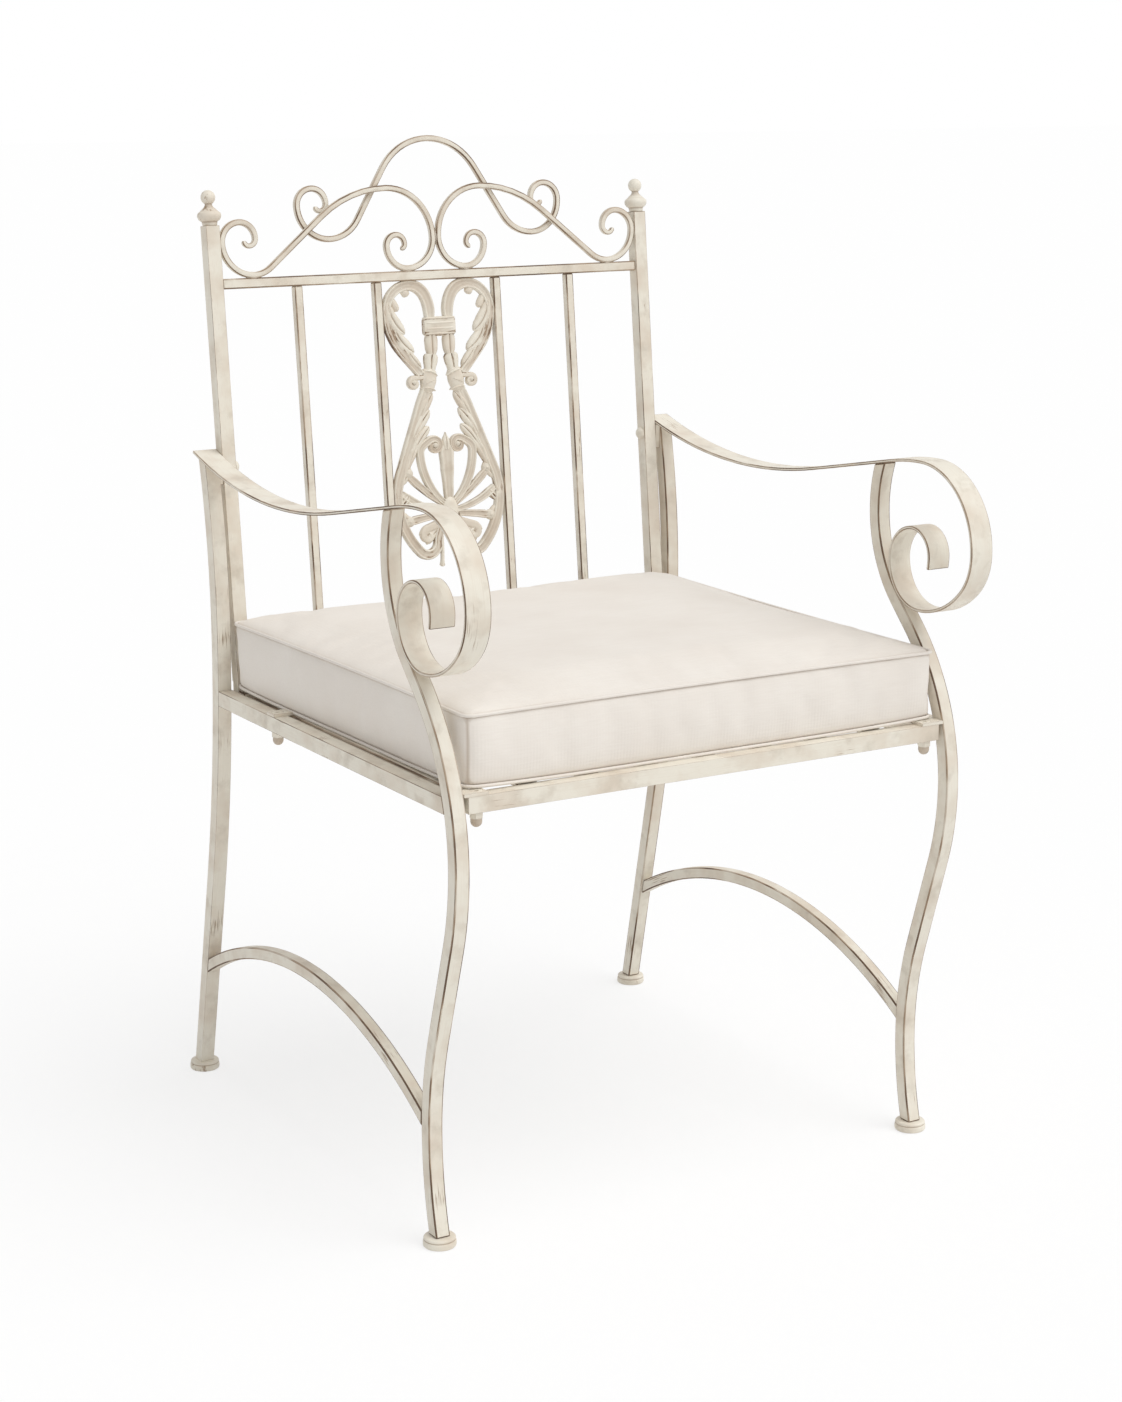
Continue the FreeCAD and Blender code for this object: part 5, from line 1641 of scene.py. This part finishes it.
@dataclass
class Cushion:
    """Loose box cushion: crowned panels, box sides drawn in between the corners, piping along both seams."""

    finishes: Finishes
    half_width: float = 249.5
    rear_width: float = 252.8
    aside: float = 2.5
    front: float = -283.0
    rear: float = 169.0
    rear_top: float = 176.0
    row_y: float = 31.75
    base: float = 417.7
    seam_low: float = 1.5
    seam_lift: float = 3.8
    seam_high: float = 66.5
    crown: float = 13.0
    corner: float = 10.0
    waist: float = 4.0
    across: int = 60
    along: int = 56
    up: int = 8
    pressure: float = 3.0
    swell: float = 0.006
    piping: float = 1.5
    hills: float = 0.0018
    # Share of the way out from which a vertex lies on the box's rim
    rim: float = 0.9999
    crown_reach: int = 6
    crown_round: float = 0.7
    corner_reach: int = 5
    ear_fade: float = 3.5
    dish_width: float = 0.2
    dish_curve: float = 1.6
    frames: int = 20
    shading: float = 180.0

    def build(self) -> None:
        """Builds the cover, fills it and sews its piping on."""
        part = Part(self.finishes)
        part.body = "cushion"
        pad = self.cover()
        self.fill(pad)
        self.unevenness(pad)
        edgings = [self.edging(pad, group) for group in ("top_seam", "bottom_seam")]
        apply_modifier(pad, "SUBSURF", levels=1, render_levels=1)
        smooth(pad, self.shading)
        part.finish(pad, "cushion_cloth", self.finishes.cloth, "seat_cushion")
        for edging in edgings:
            smooth(edging, self.shading)
            part.finish(edging, "cushion_cloth", self.finishes.piping)

    def outline(self, s: float, t: float) -> tuple[float, float]:
        """Place of the cover in plan, in millimetres from its middle.

        Args:
            s: Share across, -1 to 1.
            t: Share from front to rear, -1 to 1.

        Returns:
            The place: round corners, and sides drawn in between them.
        """
        half_depth = (self.rear - self.front) / 2
        wide = self.half_width + (self.rear_width - self.half_width) * (t + 1) / 2
        x, y = s * wide, t * half_depth
        ring = max(abs(s), abs(t))
        if ring == 0:
            return x, y
        rim_x, rim_y = x / ring, y / ring
        centre_x = math.copysign(wide - self.corner, rim_x)
        centre_y = math.copysign(half_depth - self.corner, rim_y)
        round_x, round_y = rim_x, rim_y
        if abs(rim_x) > abs(centre_x) and abs(rim_y) > abs(centre_y):
            away = math.hypot(rim_x - centre_x, rim_y - centre_y)
            round_x = centre_x + (rim_x - centre_x) * self.corner / away
            round_y = centre_y + (rim_y - centre_y) * self.corner / away
        if abs(s) >= abs(t):
            round_x -= math.copysign(self.waist * (1 - (rim_y / half_depth) ** 2), rim_x)
        else:
            round_y -= math.copysign(self.waist * (1 - (rim_x / wide) ** 2), rim_y)
        share = ring**self.corner_reach
        return x + (round_x - rim_x) * share, y + (round_y - rim_y) * share

    def cover(self) -> bpy.types.Object:
        """The stitched cover: a finely divided box, shaped in plan and crowned a little, with its seams
        marked.

        Returns:
            The closed mesh with a vertex group for each seam and one for what is held while it is filled.
        """
        deselect()
        bpy.ops.mesh.primitive_cube_add(size=2)
        pad = named("seat_cushion_cover")
        for axis, cuts in ((0, self.across), (1, self.along), (2, self.up)):
            self.divide(pad, axis, cuts)
        middle_y = (self.front + self.rear) / 2 + self.row_y
        groups = {name: pad.vertex_groups.new(name=name) for name in ("top_seam", "bottom_seam", "held")}
        sewn = []
        for vertex in pad.data.vertices:
            s, t, u = vertex.co
            ring = max(abs(s), abs(t))
            ear = (min(abs(s), abs(t)) / ring) ** self.ear_fade if ring else 0.0
            x, y = self.outline(s, t)
            x += self.aside * (1 - t) / 2
            y += (self.rear_top - self.rear) * (u + 1) / 2 * (t + 1) / 2
            low = self.seam_low + self.seam_lift * ear
            height = low + (self.seam_high - low) * (u + 1) / 2
            side = ring > self.rim
            seam = side and abs(u) > self.rim
            if u > self.rim:
                height += self.crown * (1 - ring**self.crown_reach) ** self.crown_round
            elif u < -self.rim:
                height = low * max(0.0, (ring - (1 - self.dish_width)) / self.dish_width) ** self.dish_curve
            if seam:
                groups["top_seam" if u > 0 else "bottom_seam"].add([vertex.index], 1.0, "REPLACE")
            # Seams get a painted shade line beside the piping, and the corners a stitch line
            sewn.append(float(seam or (side and ear > self.rim)))
            if seam or u < -self.rim:
                groups["held"].add([vertex.index], 1.0, "REPLACE")
            vertex.co = (x * MM, (y + middle_y) * MM, (self.base + height) * MM)
        pad.data.attributes.new("sewn", "FLOAT", "POINT").data.foreach_set("value", sewn)
        outward(pad)
        return pad

    def divide(self, pad: bpy.types.Object, axis: int, cuts: int) -> None:
        """Divides the box into equal slices along one axis.

        Args:
            pad: The box.
            axis: 0 across, 1 front to rear, 2 up.
            cuts: Number of slices.
        """
        select_only(pad)
        bpy.ops.object.mode_set(mode="EDIT")
        normal = [0.0, 0.0, 0.0]
        normal[axis] = 1.0
        for index in range(1, cuts):
            place = [0.0, 0.0, 0.0]
            place[axis] = -1 + 2 * index / cuts
            bpy.ops.mesh.select_all(action="SELECT")
            bpy.ops.mesh.bisect(plane_co=place, plane_no=normal)
        bpy.ops.object.mode_set(mode="OBJECT")

    def fill(self, pad: bpy.types.Object) -> None:
        """Blows the cover up between its seams with a cloth simulation and caps how far it swells.

        Args:
            pad: The cover.
        """
        start = [vertex.co.copy() for vertex in pad.data.vertices]
        select_only(pad)
        cloth = pad.modifiers.new("filling", "CLOTH")
        cloth.settings.quality = 6
        cloth.settings.mass = 0.2
        cloth.settings.tension_stiffness = 20
        cloth.settings.compression_stiffness = 20
        cloth.settings.shear_stiffness = 8
        cloth.settings.bending_stiffness = 0.6
        cloth.settings.use_pressure = True
        cloth.settings.uniform_pressure_force = self.pressure
        cloth.settings.vertex_group_mass = "held"
        cloth.settings.effector_weights.gravity = 0
        cloth.settings.shrink_min = -0.008
        cloth.point_cache.frame_end = self.frames
        scene = bpy.context.scene
        for number in range(1, self.frames + 1):
            scene.frame_set(number)
        bpy.ops.object.modifier_apply(modifier=cloth.name)
        scene.frame_set(1)
        moved_most = 0.0
        for vertex, first in zip(pad.data.vertices, start):
            step = vertex.co - first
            moved_most = max(moved_most, step.length)
            vertex.co = first + step * (self.swell / max(self.swell, step.length))
        LOG.info("cushion filled: a point moved %.1f mm at most", moved_most / MM)

    def unevenness(self, pad: bpy.types.Object) -> None:
        """Adds the shallow hills and dents of a used cushion to its top and sides.

        Args:
            pad: The filled cover.
        """
        clouds = bpy.data.textures.new("cushion_hills", "CLOUDS")
        clouds.noise_scale = 0.12
        clouds.noise_depth = 1
        free = pad.vertex_groups.new(name="free")
        held = pad.vertex_groups["held"].index
        for vertex in pad.data.vertices:
            if held not in [entry.group for entry in vertex.groups]:
                free.add([vertex.index], 1.0, "REPLACE")
        apply_modifier(pad, "DISPLACE", texture=clouds, strength=self.hills, mid_level=0.5,
                       vertex_group="free", texture_coords="GLOBAL")

    def edging(self, pad: bpy.types.Object, seam: str) -> bpy.types.Object:
        """Piping cord sewn along a seam.

        Args:
            pad: The filled cover.
            seam: The vertex group that marks the seam.

        Returns:
            The piping's mesh.
        """
        cord = copy_of(pad, f"cushion_{seam}_piping")
        select_only(cord)
        bpy.ops.object.mode_set(mode="EDIT")
        bpy.ops.mesh.select_mode(type="VERT")
        bpy.ops.mesh.select_all(action="DESELECT")
        cord.vertex_groups.active_index = cord.vertex_groups[seam].index
        bpy.ops.object.vertex_group_select()
        bpy.ops.mesh.select_all(action="INVERT")
        bpy.ops.mesh.delete(type="VERT")
        bpy.ops.object.mode_set(mode="OBJECT")
        cord.vertex_groups.clear()
        cord.data.attributes.remove(cord.data.attributes["sewn"])
        bpy.ops.object.convert(target="CURVE")
        cord.data.bevel_depth = self.piping * MM
        cord.data.bevel_resolution = 3
        bpy.ops.object.convert(target="MESH")
        cord = named(f"cushion_{seam}_piping")
        outward(cord)
        return cord


@dataclass
class Studio:
    """Pale floor, level soft light and the camera."""

    camera_place: tuple[float, float, float] = (-1.3249, -2.19715, 1.0228)
    camera_turn: tuple[float, float] = (76.72, -31.04)
    lens: float = 70.106
    sensor: float = 36.0
    sky: float = 0.55
    sun: float = 1.64
    sun_from: tuple[float, float, float] = (0.28, -0.44, 0.86)
    sun_width: float = 50.0
    sun_distance: float = 3.0
    floor_size: float = 60.0
    floor_white: float = 0.98
    floor_glow: float = 0.7

    def build(self) -> None:
        """Builds the floor, the world, the lamp and the camera."""
        self.floor()
        self.world()
        self.lamp()
        self.camera()
        bpy.context.scene.view_settings.view_transform = "Standard"

    def viewed(self, tree: bpy.types.NodeTree) -> tuple[bpy.types.Node, bpy.types.NodeSocket]:
        """The light path, and a value that is 1 for what the camera or a reflection sees."""
        rays = add_node(tree, "ShaderNodeLightPath")
        seen = add_node(tree, "ShaderNodeMath", {"operation": "MAXIMUM"},
                        {0: rays.outputs["Is Camera Ray"], 1: rays.outputs["Is Glossy Ray"]}).outputs[0]
        return rays, seen

    def floor(self) -> None:
        """White floor that keeps the shadow."""
        deselect()
        bpy.ops.mesh.primitive_plane_add(size=self.floor_size, location=(0, 0, 0))
        floor = named("studio_floor")
        material = bpy.data.materials.new("matt_white_floor")
        material.use_nodes = True
        tree = material.node_tree
        tree.nodes.clear()
        matt = add_node(tree, "ShaderNodeBsdfDiffuse", {"Color": (*[self.floor_white] * 3, 1)})
        glow = add_node(tree, "ShaderNodeEmission", {"Color": (1, 1, 1, 1), "Strength": 1.0})
        _, seen = self.viewed(tree)
        share = add_node(tree, "ShaderNodeMath", {"operation": "MULTIPLY", "1": self.floor_glow},
                         {0: seen}).outputs[0]
        mix = add_node(tree, "ShaderNodeMixShader", {}, {0: share, 1: matt.outputs[0], 2: glow.outputs[0]})
        add_node(tree, "ShaderNodeOutputMaterial", {}, {"Surface": mix.outputs[0]})
        floor.data.materials.append(material)

    def world(self) -> None:
        """Level grey light from all around, seen as white by the camera and in reflections."""
        world = bpy.data.worlds.new("studio_world")
        bpy.context.scene.world = world
        world.use_nodes = True
        tree = world.node_tree
        tree.nodes.clear()
        rays, seen = self.viewed(tree)
        seen = add_node(tree, "ShaderNodeMath", {"operation": "MAXIMUM"},
                        {0: seen, 1: rays.outputs["Is Transmission Ray"]}).outputs[0]
        level = add_node(tree, "ShaderNodeMapRange", {"To Min": self.sky, "To Max": 1.0},
                         {"Value": seen}).outputs[0]
        light = add_node(tree, "ShaderNodeBackground", {"Color": (1, 1, 1, 1)}, {"Strength": level})
        add_node(tree, "ShaderNodeOutputWorld", {}, {"Surface": light.outputs[0]})

    def lamp(self) -> None:
        """One large soft lamp, high up and a little to the front and right."""
        deselect()
        bpy.ops.object.light_add(type="SUN", location=Vector(self.sun_from) * self.sun_distance)
        lamp = bpy.context.object
        lamp.name = "soft_key"
        lamp.data.energy = self.sun
        lamp.data.angle = math.radians(self.sun_width)
        lamp.rotation_euler = Vector(self.sun_from).to_track_quat("Z", "Y").to_euler()

    def camera(self) -> None:
        """The photograph's viewpoint."""
        tilt, turn = (math.radians(angle) for angle in self.camera_turn)
        bpy.ops.object.camera_add(location=self.camera_place, rotation=(tilt, 0, turn))
        camera = bpy.context.object
        camera.name = "photo_camera"
        camera.data.lens = self.lens
        camera.data.sensor_width = self.sensor
        camera.data.clip_start = 0.05
        bpy.context.scene.camera = camera


def main() -> None:
    """Builds the chair, the cushion and the studio."""
    logging.basicConfig(level=logging.INFO, format="%(name)s: %(message)s")
    finishes = Finishes()
    plane = BackPlane()
    for assembly in (SideFrames(finishes), SeatPanel(finishes), BackPanel(finishes, plane),
                     Crest(finishes, plane), Splat(finishes, plane), Fixings(finishes), Cushion(finishes),
                     Studio()):
        LOG.info("building %s", type(assembly).__name__)
        assembly.build()


if __name__ == "__main__":
    main()
